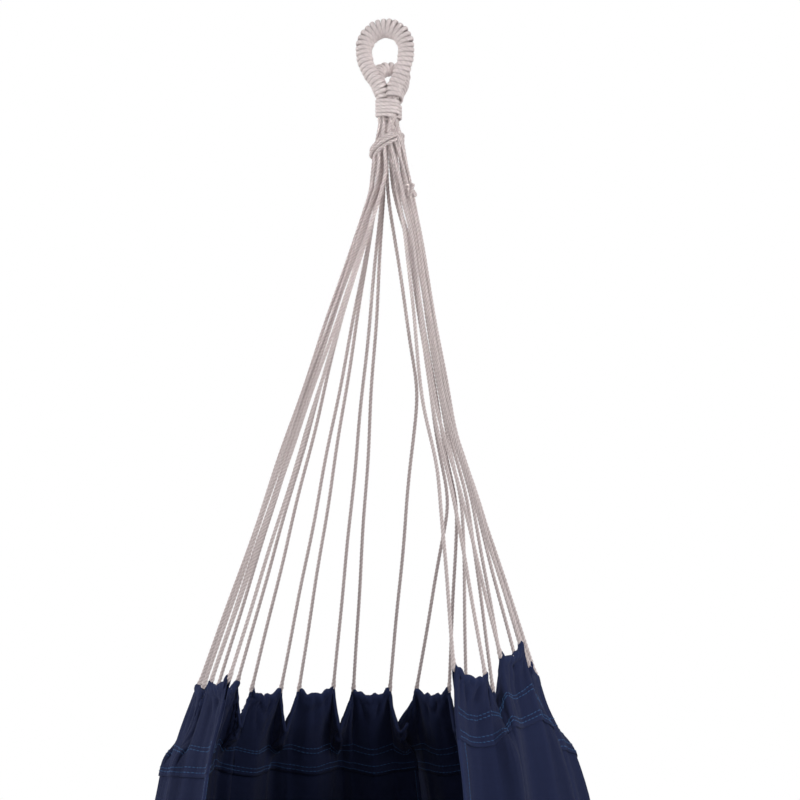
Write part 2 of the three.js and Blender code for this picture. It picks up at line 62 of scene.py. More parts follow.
class Body(Enum):
    """The rigid bodies of the chair."""

    EYES = "eyes"
    HITCH = "hitch"
    SEAT = "seat"


class Side(Enum):
    """The two ends of the cloth, by the sign of X where they hang."""

    LEFT = -1
    RIGHT = 1


# Arrays


def smooth(share: Array) -> Array:
    """An even start and stop: 3 s^2 - 2 s^3, with s held between 0 and 1."""
    held = np.clip(share, 0, 1)
    return held * held * (3 - 2 * held)


def arch(share: Array) -> Array:
    """Half a sine: 0 at a share of 0 or 1, and 1 halfway between."""
    return np.sin(math.pi * share)


def bell(distance: Array, reach: float) -> Array:
    """A bell about a distance of 0: exp(-(distance / reach)^2)."""
    return np.exp(-((distance / reach) ** 2))


def unit(vectors: Array) -> Array:
    """Each vector divided by its length."""
    shortest = 1e-12
    return vectors / np.maximum(np.linalg.norm(vectors, axis=-1, keepdims=True), shortest)


def run_of(path: Array) -> Array:
    """The distance along a path at each of its points."""
    return np.concatenate([[0.0], np.cumsum(np.linalg.norm(np.diff(path, axis=0), axis=1))])


def read_path(path: Array, marks: Array, places: Array) -> Array:
    """The points at some places on a path, each of whose own points stands at a mark."""
    return np.stack([np.interp(places, marks, path[:, axis]) for axis in range(3)], axis=1)


def resample(path: Array, step: float) -> Array:
    """The same polyline with points an even step apart.

    Args:
        path: points of the polyline.
        step: the wanted distance between points.

    Returns:
        Points spread evenly by distance, the first and last unchanged.
    """
    run = run_of(path)
    return read_path(path, run, np.linspace(0, run[-1], max(2, round(run[-1] / step) + 1)))


def soften(path: Array, reach: float, step: float) -> Array:
    """Rounds the corners of an even path: each point becomes the bell-weighted mean of its neighbours.

    Args:
        path: points an even step apart.
        reach: the bell's half width at which its weight falls to exp(-1/2).
        step: the distance between points.

    Returns:
        As many points, with the ends in place.
    """
    half = max(1, math.ceil(3 * reach / step))
    offsets = np.arange(-half, half + 1) * step
    weights = np.exp(-0.5 * (offsets / reach) ** 2)
    weights /= weights.sum()
    if len(path) > half:
        before, after = 2 * path[0] - path[half:0:-1], 2 * path[-1] - path[-2 : -half - 2 : -1]
    else:
        before, after = np.repeat(path[:1], half, axis=0), np.repeat(path[-1:], half, axis=0)
    padded = np.vstack([before, path, after])
    return np.stack([np.convolve(padded[:, axis], weights, mode="valid") for axis in range(3)], axis=1)


def spline(points: Array, count: int) -> Array:
    """A centripetal Catmull-Rom curve through points.

    Each stretch blends two parabolas through three neighbours, with knots spaced by the root of the distance.

    Args:
        points: the points that the curve passes through.
        count: how many points to return.

    Returns:
        Points an even distance apart on the curve.
    """
    steps_per_point = 60
    ends = np.vstack([2 * points[0] - points[1], points, 2 * points[-1] - points[-2]])
    knots = np.concatenate([[0.0], np.cumsum(np.sqrt(np.linalg.norm(np.diff(ends, axis=0), axis=1)))])
    t = np.linspace(knots[1], knots[-2], steps_per_point * len(points))
    i = np.clip(np.searchsorted(knots, t, side="right") - 1, 1, len(points) - 1)
    p0, p1, p2, p3 = (ends[i + k] for k in (-1, 0, 1, 2))
    t0, t1, t2, t3 = (knots[i + k][:, None] for k in (-1, 0, 1, 2))
    t = t[:, None]
    a1 = ((t1 - t) * p0 + (t - t0) * p1) / (t1 - t0)
    a2 = ((t2 - t) * p1 + (t - t1) * p2) / (t2 - t1)
    a3 = ((t3 - t) * p2 + (t - t2) * p3) / (t3 - t2)
    b1 = ((t2 - t) * a1 + (t - t0) * a2) / (t2 - t0)
    b2 = ((t3 - t) * a2 + (t - t1) * a3) / (t3 - t1)
    curve = ((t2 - t) * b1 + (t - t1) * b2) / (t2 - t1)
    run = run_of(curve)
    return read_path(curve, run, np.linspace(0, run[-1], count))


def held_ends(count: int, reach: int) -> Array:
    """A share for each of count steps: 0 at both ends, 1 from reach steps inside them, and smooth between."""
    step = np.arange(count)
    return smooth(np.minimum(step, step[::-1]) / reach)


def waves(seed: int, count: int, longest: float, shortest: float) -> Callable[[Array, Array], Array]:
    """A smooth random field over a plane: the mean of sine waves in random directions and phases.

    Args:
        seed: makes the same field each time.
        count: how many waves.
        longest: the longest wave.
        shortest: the shortest wave.

    Returns:
        A function of two coordinates, roughly between -1 and 1.
    """
    highest = 1.5
    dice = np.random.default_rng(seed)
    lengths = np.exp(dice.uniform(math.log(shortest), math.log(longest), count))
    turns = dice.uniform(0, TURN, count)
    phases = dice.uniform(0, TURN, count)

    def at(a: Array, b: Array) -> Array:
        """The field at each pair of coordinates.

        Args:
            a: the first coordinate of each place.
            b: the second one.

        Returns:
            The field's value there.
        """
        a, b = np.broadcast_arrays(a, b)
        along = a[..., None] * np.cos(turns) + b[..., None] * np.sin(turns)
        return np.sin(TURN * along / lengths + phases).sum(axis=-1) * math.sqrt(2 / count) / highest

    return at


# Meshes


@dataclass
class Surface:
    """Grids of points that become one mesh, each with its quads, its caps and its own UV places."""

    points: list[Array] = field(default_factory=list)
    loops: list[Array] = field(default_factory=list)
    sizes: list[Array] = field(default_factory=list)
    uvs: list[Array] = field(default_factory=list)
    wear: list[Array] = field(default_factory=list)
    total: int = 0

    def add_grid(
        self,
        grid: Array,
        uv: Array,
        closed: bool = False,
        caps: bool = False,
        flip: bool = False,
        wear: Array | None = None,
    ) -> None:
        """Adds a grid of points as quads.

        Args:
            grid: points as rows by columns by 3.
            uv: places as rows by columns by 2, with one more column where the grid is closed.
            closed: joins the last column to the first.
            caps: closes the first and last row with a flat face.
            flip: turns the faces of an open grid round, by taking its columns backwards.
            wear: how worn each point is on cloth, and how deep the painted seam shade is on wound cord, from
                0 to 1.
        """
        rows, columns = grid.shape[:2]
        tint_share = np.zeros((rows, columns)) if wear is None else wear
        if flip:
            grid, uv, tint_share = grid[:, ::-1], uv[:, ::-1], tint_share[:, ::-1]
        r, c = np.meshgrid(np.arange(rows - 1), np.arange(columns if closed else columns - 1), indexing="ij")
        right = (c + 1) % columns
        corners = [(r, c, c), (r, right, c + 1), (r + 1, right, c + 1), (r + 1, c, c)]
        quads = np.stack([a * columns + b for a, b, _ in corners], axis=-1).reshape(-1, 4)
        self.loops.append(quads.ravel() + self.total)
        self.sizes.append(np.full(len(quads), 4))
        self.uvs.append(np.stack([uv[a, b] for a, _, b in corners], axis=-2).reshape(-1, 2))
        if caps:
            first, last = np.arange(columns)[::-1], np.arange(columns) + (rows - 1) * columns
            self.loops.append(np.concatenate([first, last]) + self.total)
            self.sizes.append(np.array([columns, columns]))
            self.uvs.append(np.vstack([uv[0, :columns][::-1], uv[-1, :columns]]))
        self.points.append(grid.reshape(-1, 3))
        self.wear.append(tint_share.ravel())
        self.total += rows * columns

    def add_many(self, grids: Array, uv: Array) -> None:
        """Adds many small closed and capped tubes of one make.

        Args:
            grids: points as pieces by rows by columns by 3.
            uv: places as rows by columns + 1 by 2, the same for each piece.
        """
        count, rows, columns = grids.shape[:3]
        one = Surface()
        one.add_grid(grids[0], uv, closed=True, caps=True)
        shift = (np.arange(count) * rows * columns)[:, None] + self.total
        self.loops.append(np.concatenate([(loops[None, :] + shift).ravel() for loops in one.loops]))
        self.sizes.append(np.concatenate([np.tile(sizes, count) for sizes in one.sizes]))
        self.uvs.append(np.vstack([np.tile(places, (count, 1)) for places in one.uvs]))
        self.points.append(grids.reshape(-1, 3))
        self.wear.append(np.zeros(count * rows * columns))
        self.total += count * rows * columns

    def to_object(self, name: str, material: bpy.types.Material, slot: str | None = None) -> bpy.types.Object:
        """Makes the mesh object, at the origin and smooth shaded.

        Args:
            name: the piece's name.
            material: its finish.
            slot: a material slot's name, or none for a stage piece; not used.

        Returns:
            The new object, linked to the scene.
        """
        points, loops, sizes = np.vstack(self.points), np.concatenate(self.loops), np.concatenate(self.sizes)
        starts = np.concatenate([[0], np.cumsum(sizes)[:-1]])
        mesh = bpy.data.meshes.new(name)
        mesh.vertices.add(len(points))
        mesh.vertices.foreach_set("co", points.ravel())
        mesh.loops.add(len(loops))
        mesh.loops.foreach_set("vertex_index", loops.astype(np.int32))
        mesh.polygons.add(len(sizes))
        mesh.polygons.foreach_set("loop_start", starts.astype(np.int32))
        mesh.update(calc_edges=True)
        layer = mesh.uv_layers.new(name="UVMap")
        layer.data.foreach_set("uv", np.vstack(self.uvs).ravel())
        # The attribute holds the cloth's real wear, and the painted shade at the seams between a wound cord's
        # turns.
        attribute = mesh.attributes.new("wear", "FLOAT", "POINT")
        attribute.data.foreach_set("value", np.concatenate(self.wear).astype(np.float32))
        mesh.shade_smooth()
        mesh.materials.append(material)
        piece = bpy.data.objects.new(name, mesh)
        bpy.context.scene.collection.objects.link(piece)
        log.info("%s: %d points, %d faces", name, len(points), len(sizes))
        return piece


@dataclass(frozen=True)
class Cord:
    """A twisted cord of three plies.

    Its grooves are filled up to a share of its radius. Each ply's own radius and its place off the middle are
    shares of it too.
    """

    diameter: float = 0.005
    lay: float = 0.016
    sides: int = 12
    groove: float = 0.78
    ply_radius: float = 0.464
    ply_offset: float = 0.536
    # Painted shade: seam_from and seam_behind say where the seam shade covers the cord's sides and its back.
    seam_from: float = 0.55
    seam_behind: float = -0.1

    def outline(self, turn: Array) -> Array:
        """The cord's outline as a share of its radius.

        It is the furthest of three circles side by side in each direction, or the filled groove where that is
        further.

        Args:
            turn: directions round the cord.

        Returns:
            A share for each of them.
        """
        third = np.mod(turn, TURN / 3) - TURN / 6
        reach = np.sqrt(np.maximum(0, self.ply_radius**2 - (self.ply_offset * np.sin(third)) ** 2))
        return np.maximum(self.groove, self.ply_offset * np.cos(third) + reach)

    def sweep(
        self,
        surface: Surface,
        path: Array,
        across: Array,
        start: float = 0.0,
        scale: Array | float = 1.0,
        flat: float = 1.0,
        seam: float = 0.0,
    ) -> None:
        """Carries the outline along a path, turning once in each lay.

        Args:
            surface: where the cord's skin goes.
            path: the cord's middle line.
            across: a direction at each point that isn't along the path, from which the turns are counted.
            start: the outline's turn at the first point.
            scale: the cord's thickness along the path, as a share of its own.
            flat: the thickness along across, as a share of that sideways.
            seam: how much painted shade darkens the cord on both sides, where it touches its neighbours, and
                on its back, from 0 to 1.
        """
        tangent = unit(np.gradient(path, axis=0))
        first = unit(across - (across * tangent).sum(axis=1, keepdims=True) * tangent)
        second = np.cross(tangent, first)
        run = run_of(path)
        turn = np.arange(self.sides) / self.sides * TURN
        cos, sin = np.cos(turn), np.sin(turn)
        radius = self.outline(turn[None, :] - TURN * run[:, None] / self.lay + start)
        radius = radius * (self.diameter / 2) * np.broadcast_to(scale, (len(path),))[:, None]
        spoke = flat * cos[None, :, None] * first[:, None, :] + sin[None, :, None] * second[:, None, :]
        turns = np.arange(self.sides + 1)[None, :] / self.sides - run[:, None] / self.lay + start / TURN
        uv = np.stack(np.broadcast_arrays(turns, run[:, None]), axis=-1)
        # Painted shade: the cord is darkened on its sides, where its turns touch, and on its back, where it
        # lies on the cords beneath.
        beside = smooth((np.abs(sin) - self.seam_from) / (1 - self.seam_from))
        tint_share = np.broadcast_to(seam * np.where(cos > self.seam_behind, beside, 1.0), radius.shape)
        surface.add_grid(path[:, None, :] + radius[..., None] * spoke, uv, closed=True, caps=True, wear=tint_share)


# Finishes


class NodeTree:
    """Short calls for making and joining shader nodes."""

    def __init__(self, tree: bpy.types.NodeTree) -> None:
        """Takes the node tree to work in."""
        self.tree = tree

    def node(self, kind: str, **settings: object) -> bpy.types.Node:
        """A new node of a kind, with its properties set.

        Args:
            kind: the node's type.
            **settings: its properties, by name.

        Returns:
            The node.
        """
        made = self.tree.nodes.new(kind)
        for name, value in settings.items():
            setattr(made, name, value)
        return made

    def join(self, source: object, target: Socket) -> None:
        """Links a socket to an input, or writes a plain value into it.

        Args:
            source: a socket or a plain value.
            target: the input.
        """
        if isinstance(source, Socket):
            self.tree.links.new(source, target)
        else:
            target.default_value = source

    def fill(self, made: bpy.types.Node, *values: object) -> bpy.types.Node:
        """The same node, with its first inputs joined to values in order.

        Args:
            made: the node.
            *values: sockets or plain values.

        Returns:
            The same node.
        """
        for value, socket in zip(values, made.inputs):
            self.join(value, socket)
        return made

    def math(self, operation: str, *values: object) -> Socket:
        """A Math node's result."""
        return self.fill(self.node("ShaderNodeMath", operation=operation), *values).outputs[0]

    def times(self, first: object, second: object) -> Socket:
        """Two values multiplied."""
        return self.math("MULTIPLY", first, second)

    def plus(self, first: object, second: object) -> Socket:
        """Two values added."""
        return self.math("ADD", first, second)

    def vector(self, x: object, y: object, z: object = 0.0) -> Socket:
        """Three values as one vector."""
        return self.fill(self.node("ShaderNodeCombineXYZ"), x, y, z).outputs[0]

    def plane(self, place: Socket) -> tuple[Socket, Socket]:
        """A vector's X and Y."""
        split = self.fill(self.node("ShaderNodeSeparateXYZ"), place)
        return split.outputs[0], split.outputs[1]

    def noise(self, place: object, scale: float, detail: float = 2.0, roughness: float = 0.5) -> Socket:
        """The value of a Noise texture, around 0.5.

        Args:
            place: where it is read.
            scale: how many lumps there are to a unit.
            detail: how many finer layers it has.
            roughness: how strong those are.

        Returns:
            The value.
        """
        made = self.node("ShaderNodeTexNoise")
        self.join(place, made.inputs["Vector"])
        for name, value in (("Scale", scale), ("Detail", detail), ("Roughness", roughness)):
            made.inputs[name].default_value = value
        return made.outputs["Fac"]

    def mix(self, share: object, first: object, second: object) -> Socket:
        """A colour between two.

        Args:
            share: how much of the second one there is.
            first: a colour.
            second: another.

        Returns:
            The mixture.
        """
        made = self.node("ShaderNodeMix", data_type="RGBA")
        for value, socket in zip((share, first, second), (made.inputs[0], made.inputs[6], made.inputs[7])):
            self.join(value, socket)
        return made.outputs[2]

    def span(
        self, value: object, low: float, high: float, to_low: float = 0.0, to_high: float = 1.0
    ) -> Socket:
        """A value carried from one span to another, and held inside it."""
        return self.fill(self.node("ShaderNodeMapRange"), value, low, high, to_low, to_high).outputs[0]


def new_group(name: str, inputs: Sequence[tuple[str, str, object]]) -> tuple[NodeTree, object, object]:
    """A shader node group with named inputs, and the outputs Colour and Height.

    Args:
        name: the group's name.
        inputs: each input's name, socket kind and first value.

    Returns:
        The group's tree, its input node's outputs and its output node's inputs.
    """
    tree = bpy.data.node_groups.new(name, "ShaderNodeTree")
    for socket_name, kind, value in inputs:
        made = tree.interface.new_socket(name=socket_name, in_out="INPUT", socket_type=kind)
        if value is not None:
            made.default_value = value
    for socket_name, kind in (("Colour", "NodeSocketColor"), ("Height", "NodeSocketFloat")):
        tree.interface.new_socket(name=socket_name, in_out="OUTPUT", socket_type=kind)
    nodes = NodeTree(tree)
    return nodes, nodes.node("NodeGroupInput").outputs, nodes.node("NodeGroupOutput").inputs


def cotton_lay_group() -> bpy.types.NodeTree:
    """Plies and fibres of a twisted cord, read from its UV places: turns round it, and metres along it.

    The ply mask is 0 in the groove between two plies, where the groove colour paints the shade that falls
    there.
    Fibres are noise drawn out along the cord and turned against the lay, read round a circle so that it has
    no seam. Soiled patches come and go along the cord, tinted towards the same groove colour. The seam mask
    paints shade towards the seam colour where a wound cord's turns touch and where it lies on other cords.

    Returns:
        The group, whose results are a colour and a height.
    """
    plies, fibre_twist, fibre_density, patch_density = 3.0, 110.0, 90.0, 14.0
    nodes, given, result = new_group(
        "Cotton lay",
        [
            ("Place", "NodeSocketVector", None),
            ("Seam", "NodeSocketFloat", 0.0),
            ("Colour", "NodeSocketColor", None),
            ("Groove shade and soil colour", "NodeSocketColor", None),
            ("Seam shade colour", "NodeSocketColor", None),
        ],
    )
    round_it, run = nodes.plane(given["Place"])
    ply = nodes.math("SINE", nodes.times(nodes.math("FRACT", nodes.times(round_it, plies)), math.pi))
    angle = nodes.times(nodes.plus(round_it, nodes.times(run, fibre_twist)), TURN)
    across, beside = nodes.math("COSINE", angle), nodes.math("SINE", angle)
    fibre = nodes.noise(nodes.vector(across, beside, nodes.times(run, fibre_density)), 7.0, 3.0, 0.6)
    patch = nodes.noise(nodes.vector(0.0, 0.0, nodes.times(run, patch_density)), 1.0, 3.0)
    # Painted shade: the ply mask darkens each groove between plies towards the groove colour, and the fibre
    # noise varies the cotton's own tone.
    shade = nodes.times(nodes.span(ply, 0.1, 0.75), nodes.span(fibre, 0.25, 0.6, 0.72, 1.0))
    laid = nodes.mix(shade, given["Groove shade and soil colour"], given["Colour"])
    soiled = nodes.mix(nodes.span(patch, 0.35, 0.7, 0.0, 0.35), laid, given["Groove shade and soil colour"])
    # Painted shade: the seam mask darkens a wound cord towards the seam colour where its turns touch and
    # where it lies on other cords.
    nodes.join(nodes.mix(given["Seam"], soiled, given["Seam shade colour"]), result["Colour"])
    nodes.join(nodes.plus(nodes.times(ply, 0.4), fibre), result["Height"])
    return nodes.tree


def canvas_weave_group() -> bpy.types.NodeTree:
    """A plain weave read from UV places in metres.

    Where the whole numbers of warp and weft add up even, the warp lies on top, and otherwise the weft. Each
    thread is half a sine across. Slubs are noise drawn out along either thread, and clouds are a broad noise.

    Returns:
        The group, whose results are a colour and a height.
    """
    thread_noise, slub_noise, cloud_noise = 900.0, 18.0, (9.0, 5.0)
    nodes, given, result = new_group(
        "Canvas weave",
        [
            ("Place", "NodeSocketVector", None),
            ("Thread", "NodeSocketFloat", 0.0009),
            ("Colour", "NodeSocketColor", None),
            ("Faded colour", "NodeSocketColor", None),
            ("Wear", "NodeSocketFloat", 0.0),
        ],
    )
    across, down = nodes.plane(given["Place"])
    warp = nodes.math("DIVIDE", across, given["Thread"])
    weft = nodes.math("DIVIDE", down, given["Thread"])
    both = nodes.plus(nodes.math("FLOOR", warp), nodes.math("FLOOR", weft))
    on_top = nodes.math("PINGPONG", both, 1.0)
    over = nodes.math("ABSOLUTE", nodes.math("SINE", nodes.times(warp, math.pi)))
    under = nodes.math("ABSOLUTE", nodes.math("SINE", nodes.times(weft, math.pi)))
    height = nodes.plus(nodes.times(over, nodes.math("SUBTRACT", 1.0, on_top)), nodes.times(under, on_top))

    def drawn_noise(each_way: tuple[float, float], layer: float, detail: float) -> Socket:
        """Noise over the cloth, as dense across and down as each_way says."""
        place = nodes.vector(nodes.times(across, each_way[0]), nodes.times(down, each_way[1]), layer)
        return nodes.noise(place, 1.0, detail)

    slubs = nodes.plus(
        nodes.span(drawn_noise((thread_noise, slub_noise), 0.0, 2.0), 0.3, 0.75, 0.0, 0.18),
        nodes.span(drawn_noise((slub_noise, thread_noise), 3.0, 2.0), 0.3, 0.75, 0.0, 0.18),
    )
    faded = nodes.plus(slubs, nodes.span(drawn_noise(cloud_noise, 7.0, 4.0), 0.35, 0.75, 0.0, 0.3))
    tint_share = nodes.plus(nodes.plus(faded, nodes.times(height, 0.16)), nodes.times(given["Wear"], 0.55))
    held = nodes.fill(nodes.node("ShaderNodeClamp"), tint_share).outputs[0]
    nodes.join(nodes.mix(held, given["Colour"], given["Faded colour"]), result["Colour"])
    nodes.join(nodes.plus(height, nodes.times(slubs, 2.0)), result["Height"])
    return nodes.tree


def blank_material(name: str) -> tuple[bpy.types.Material, NodeTree, bpy.types.Node]:
    """A new material, its nodes and its Principled shader.

    Args:
        name: the material's name.

    Returns:
        The three of them.
    """
    material = bpy.data.materials.new(name)
    material.use_nodes = True
    return material, NodeTree(material.node_tree), material.node_tree.nodes["Principled BSDF"]


def cloth_material(
    name: str,
    group_tree: bpy.types.NodeTree,
    mask: str,
    values: dict[str, object],
    relief: float,
    shine: dict[str, float],
) -> bpy.types.Material:
    """A material of cord or cloth, whose colour and relief come from a group.

    Args:
        name: the material's name.
        group_tree: the group, with the outputs Colour and Height.
        mask: the group's input that the mesh's point attribute feeds: real wear on cloth, painted seam shade
            on wound cord.
        values: the group's other inputs, by name.
        relief: how far a height of 1 stands out, in metres.
        shine: the shader's own plain inputs, by name.

    Returns:
        The new material.
    """
    material, nodes, shader = blank_material(name)
    group = nodes.node("ShaderNodeGroup", node_tree=group_tree)
    nodes.join(nodes.node("ShaderNodeUVMap", uv_map="UVMap").outputs[0], group.inputs["Place"])
    nodes.join(nodes.node("ShaderNodeAttribute", attribute_name="wear").outputs["Fac"], group.inputs[mask])
    for socket_name, value in values.items():
        nodes.join(value, group.inputs[socket_name])
    bump = nodes.node("ShaderNodeBump")
    bump.inputs["Distance"].default_value = relief
    nodes.join(group.outputs["Height"], bump.inputs["Height"])
    nodes.join(bump.outputs[0], shader.inputs["Normal"])
    nodes.join(group.outputs["Colour"], shader.inputs["Base Color"])
    shader.inputs["Specular IOR Level"].default_value = 0.2
    for socket_name, value in shine.items():
        shader.inputs[socket_name].default_value = value
    return material


@dataclass(frozen=True)
class CottonFinish:
    """Unbleached twisted cotton, with painted shade in the grooves between its plies and at the seams of
    wound turns.
    """

    name: str = "twisted cotton"
    colour: Colour = (0.76, 0.675, 0.662, 1.0)
    # groove paints the shade in the grooves between plies, and also tints the soiled patches.
    groove: Colour = (0.50, 0.42, 0.405, 1.0)
    # seam paints the shade where a wound cord's turns touch and where it lies on the cords beneath.
    seam: Colour = (0.36, 0.30, 0.295, 1.0)
    relief: float = 0.00035
    roughness: float = 0.92

    def make(self, lay: bpy.types.NodeTree) -> bpy.types.Material:
        """The material, with the lay group's colour and height.

        Args:
            lay: the group of a twisted cord.

        Returns:
            The material.
        """
        values = {"Colour": self.colour, "Groove shade and soil colour": self.groove, "Seam shade colour": self.seam}
        shine = {"Roughness": self.roughness, "Sheen Weight": 0.12, "Sheen Roughness": 0.5}
        return cloth_material(self.name, lay, "Seam", values, self.relief, shine)


@dataclass(frozen=True)
class CanvasFinish:
    """Dyed plain-woven cotton."""

    name: str
    colour: Colour
    faded: Colour = (0.0200, 0.0310, 0.092, 1.0)
    thread: float = 0.0009
    relief: float = 0.00022
    roughness: float = 0.88

    def make(self, weave: bpy.types.NodeTree) -> bpy.types.Material:
        """The material, with the weave group's colour and height.

        Args:
            weave: the group of a plain weave.

        Returns:
            The material.
        """
        values = {"Thread": self.thread, "Colour": self.colour, "Faded colour": self.faded}
        shine = {"Roughness": self.roughness, "Sheen Weight": 0.05, "Sheen Roughness": 0.4}
        return cloth_material(self.name, weave, "Wear", values, self.relief, shine)


@dataclass
class Finishes:
    """The chair's materials, made once."""

    cotton: bpy.types.Material = field(init=False)
    wound: bpy.types.Material = field(init=False)
    cloth: bpy.types.Material = field(init=False)
    casing: bpy.types.Material = field(init=False)
    thread: bpy.types.Material = field(init=False)

    def __post_init__(self) -> None:
        """Makes the two shared groups and the five materials."""
        lay, weave = cotton_lay_group(), canvas_weave_group()
        # The darker blue paints the shade in the sewing thread's grooves, and tints its soiled patches.
        blue, groove_shade_and_soil_blue = (0.045, 0.125, 0.30, 1.0), (0.018, 0.05, 0.14, 1.0)
        self.cotton = CottonFinish().make(lay)
        # The wound cord's lighter groove colour paints softer shade in its grooves.
        self.wound = CottonFinish("wound cotton", groove=(0.665, 0.59, 0.575, 1.0), relief=0.0002).make(lay)
        self.cloth = CanvasFinish("navy canvas", (0.0104, 0.0150, 0.050, 1.0)).make(weave)
        self.casing = CanvasFinish("navy canvas, folded", (0.0110, 0.0160, 0.053, 1.0)).make(weave)
        self.thread = CottonFinish("sewing thread", blue, groove_shade_and_soil_blue, relief=0.0001, roughness=0.7).make(lay)


# The chair

core_radius = 0.0058
neck_top_drop = 0.078
neck_half_width = 0.0125
neck_half_depth = 0.0075
neck_leg_offset = neck_half_width - core_radius
neck_middle_y = 0.013


@dataclass
class Eye:
    """One eye: seven cords bent round it, whipped all the way, and again where they meet in the neck."""

    name: str
    half_width: float
    swell: float
    turns: int
    place: tuple[float, float]
    lean: float = 0.0
    turn: float = 0.0
    shift: float = 0.0
    strands: int = 7
    strand: Cord = Cord(0.0046, 0.015)
    winding: Cord = Cord(0.0068, 0.019, 12, 0.97)
    winding_start: float = -0.0025
    winding_cover: float = 0.0048
    winding_tuck: float = 0.002
    winding_sink: float = 0.0002
    unevenness: float = 0.0004
    neck_winding: Cord = Cord(0.0054, 0.019, 12, 0.97)
    neck_turns: float = 5.4
    neck_pitch: float = 0.0046
    neck_start: float = 0.003
    neck_tuck: float = 0.006
    flattened: float = 0.70
    tuck_steps: int = 30
    # Painted shade: how deep the seam shade is on both windings.
    seam_shade: float = 0.6

    def set_down(self, points: Array) -> Array:
        """Turns points about the vertical and moves them to the eye's place.

        Args:
            points: points in the eye's own frame.

        Returns:
            The same points in the chair's frame.
        """
        cos, sin = math.cos(self.turn), math.sin(self.turn)
        x = self.place[0] + points[..., 0] * cos - points[..., 1] * sin
        y = self.place[1] + points[..., 0] * sin + points[..., 1] * cos
        return np.stack([x, y, points[..., 2]], axis=-1)

    def turn_with(self, directions: Array) -> Array:
        """Turns directions as set_down turns points."""
        return self.set_down(directions) - self.set_down(0 * directions)

    def guide(self, count: int) -> Array:
        """The middle line of the eye, a half circle on two legs that taper into the neck.

        The eye's outline lies flat first, as a width, a height and a share of the leg, and then leans back
        about the top of the neck. The taper is how far down a leg is, and how much it still stands out.

        Args:
            count: how many points to return.

        Returns:
            Points an even distance apart, before the eye is set down.
        """
        crown = core_radius + self.swell + self.winding_cover - self.half_width
        arc = np.linspace(0, math.pi / 2, 7)
        arc_x, arc_y = self.half_width * np.sin(arc), crown + self.half_width * np.cos(arc)
        arc_part = np.stack([arc_x, arc_y, 0 * arc], axis=1)
        taper = np.array([[0.18, 0.96], [0.42, 0.76], [0.66, 0.38], [0.84, 0.11], [1, 0]])
        leg_x = neck_leg_offset + (self.half_width - neck_leg_offset) * taper[:, 1]
        leg_part = np.stack([leg_x, crown - (crown + neck_top_drop) * taper[:, 0], taper[:, 0]], axis=1)
        foot = np.array([[neck_leg_offset, -neck_top_drop - core_radius, 1]])
        half = np.vstack([arc_part, leg_part, foot])
        mirrored = half[:0:-1] * np.array([-1, 1, 1])
        flat = np.vstack([mirrored, half])
        height = np.maximum(0, flat[:, 1] + neck_top_drop)
        below = np.minimum(0, flat[:, 1] + neck_top_drop)
        x = flat[:, 0] + self.shift * smooth(flat[:, 2])
        z = -neck_top_drop + height * math.cos(self.lean) + below
        return spline(np.stack([x, height * math.sin(self.lean), z], axis=1), count)

    def cross(self, guide: Array) -> tuple[Array, Array]:
        """Two directions square to the guide at each point: in the eye's own plane, and across it.

        Args:
            guide: points along the eye's middle line.

        Returns:
            Unit vectors of each kind, one for each point.
        """
        across = np.array([0, -math.cos(self.lean), math.sin(self.lean)])
        tangent = unit(np.gradient(guide, axis=0))
        return unit(np.cross(across[None, :], tangent)), np.broadcast_to(across, guide.shape)

    def strand_paths(self, neck_end: float) -> list[Array]:
        """The cords of the bundle, one in the middle and the others round it, from neck to neck.

        Args:
            neck_end: the height at which the cords leave the neck.

        Returns:
            A path for each cord, in the chair's frame.
        """
        guide = self.guide(140)
        in_plane, across = self.cross(guide)
        paths = []
        for index in range(self.strands):
            angle = TURN * index / (self.strands - 1)
            away = 0.0 if index == self.strands - 1 else core_radius - self.strand.diameter / 2
            line = guide + away * (math.cos(angle) * in_plane + math.sin(angle) * across)
            first, last = (np.array([foot * [1, 1, 0] + [0, 0, neck_end]]) for foot in (line[0], line[-1]))
            paths.append(self.set_down(np.vstack([first, line, last])))
        return paths

    def winding_path(self) -> tuple[Array, Array]:
        """The cord wound round the eye: all along the guide it stands half its thickness off the bundle.

        The bundle swells round the top, as the sixth power of half a sine along the guide. The winding's ends
        are tucked in.

        Returns:
            The winding's middle line, and the direction away from the bundle.
        """
        steps = self.turns * 40
        guide = self.guide(1600)
        heights = (guide[:, 2] + neck_top_drop) / math.cos(self.lean)
        first = int(np.argmax(heights > self.winding_start))
        share = np.linspace(first, len(guide) - 1 - first, steps + 1) / (len(guide) - 1)
        centre = read_path(guide, np.linspace(0, 1, len(guide)), share)
        in_plane, across = self.cross(centre)
        turn = TURN * np.linspace(0, self.turns, steps + 1)[:, None]
        spoke = in_plane * np.cos(turn) + across * np.sin(turn)
        bundle = core_radius + self.swell * arch(share) ** 6
        tuck = self.winding_tuck * (1 - held_ends(steps + 1, self.tuck_steps))
        radius = bundle - tuck + self.flattened * self.winding.diameter / 2 - self.winding_sink
        uneven = self.unevenness * np.sin(share * 97 + 2 * np.sin(share * 31))
        return self.set_down(centre + (radius + uneven)[:, None] * spoke), self.turn_with(spoke)

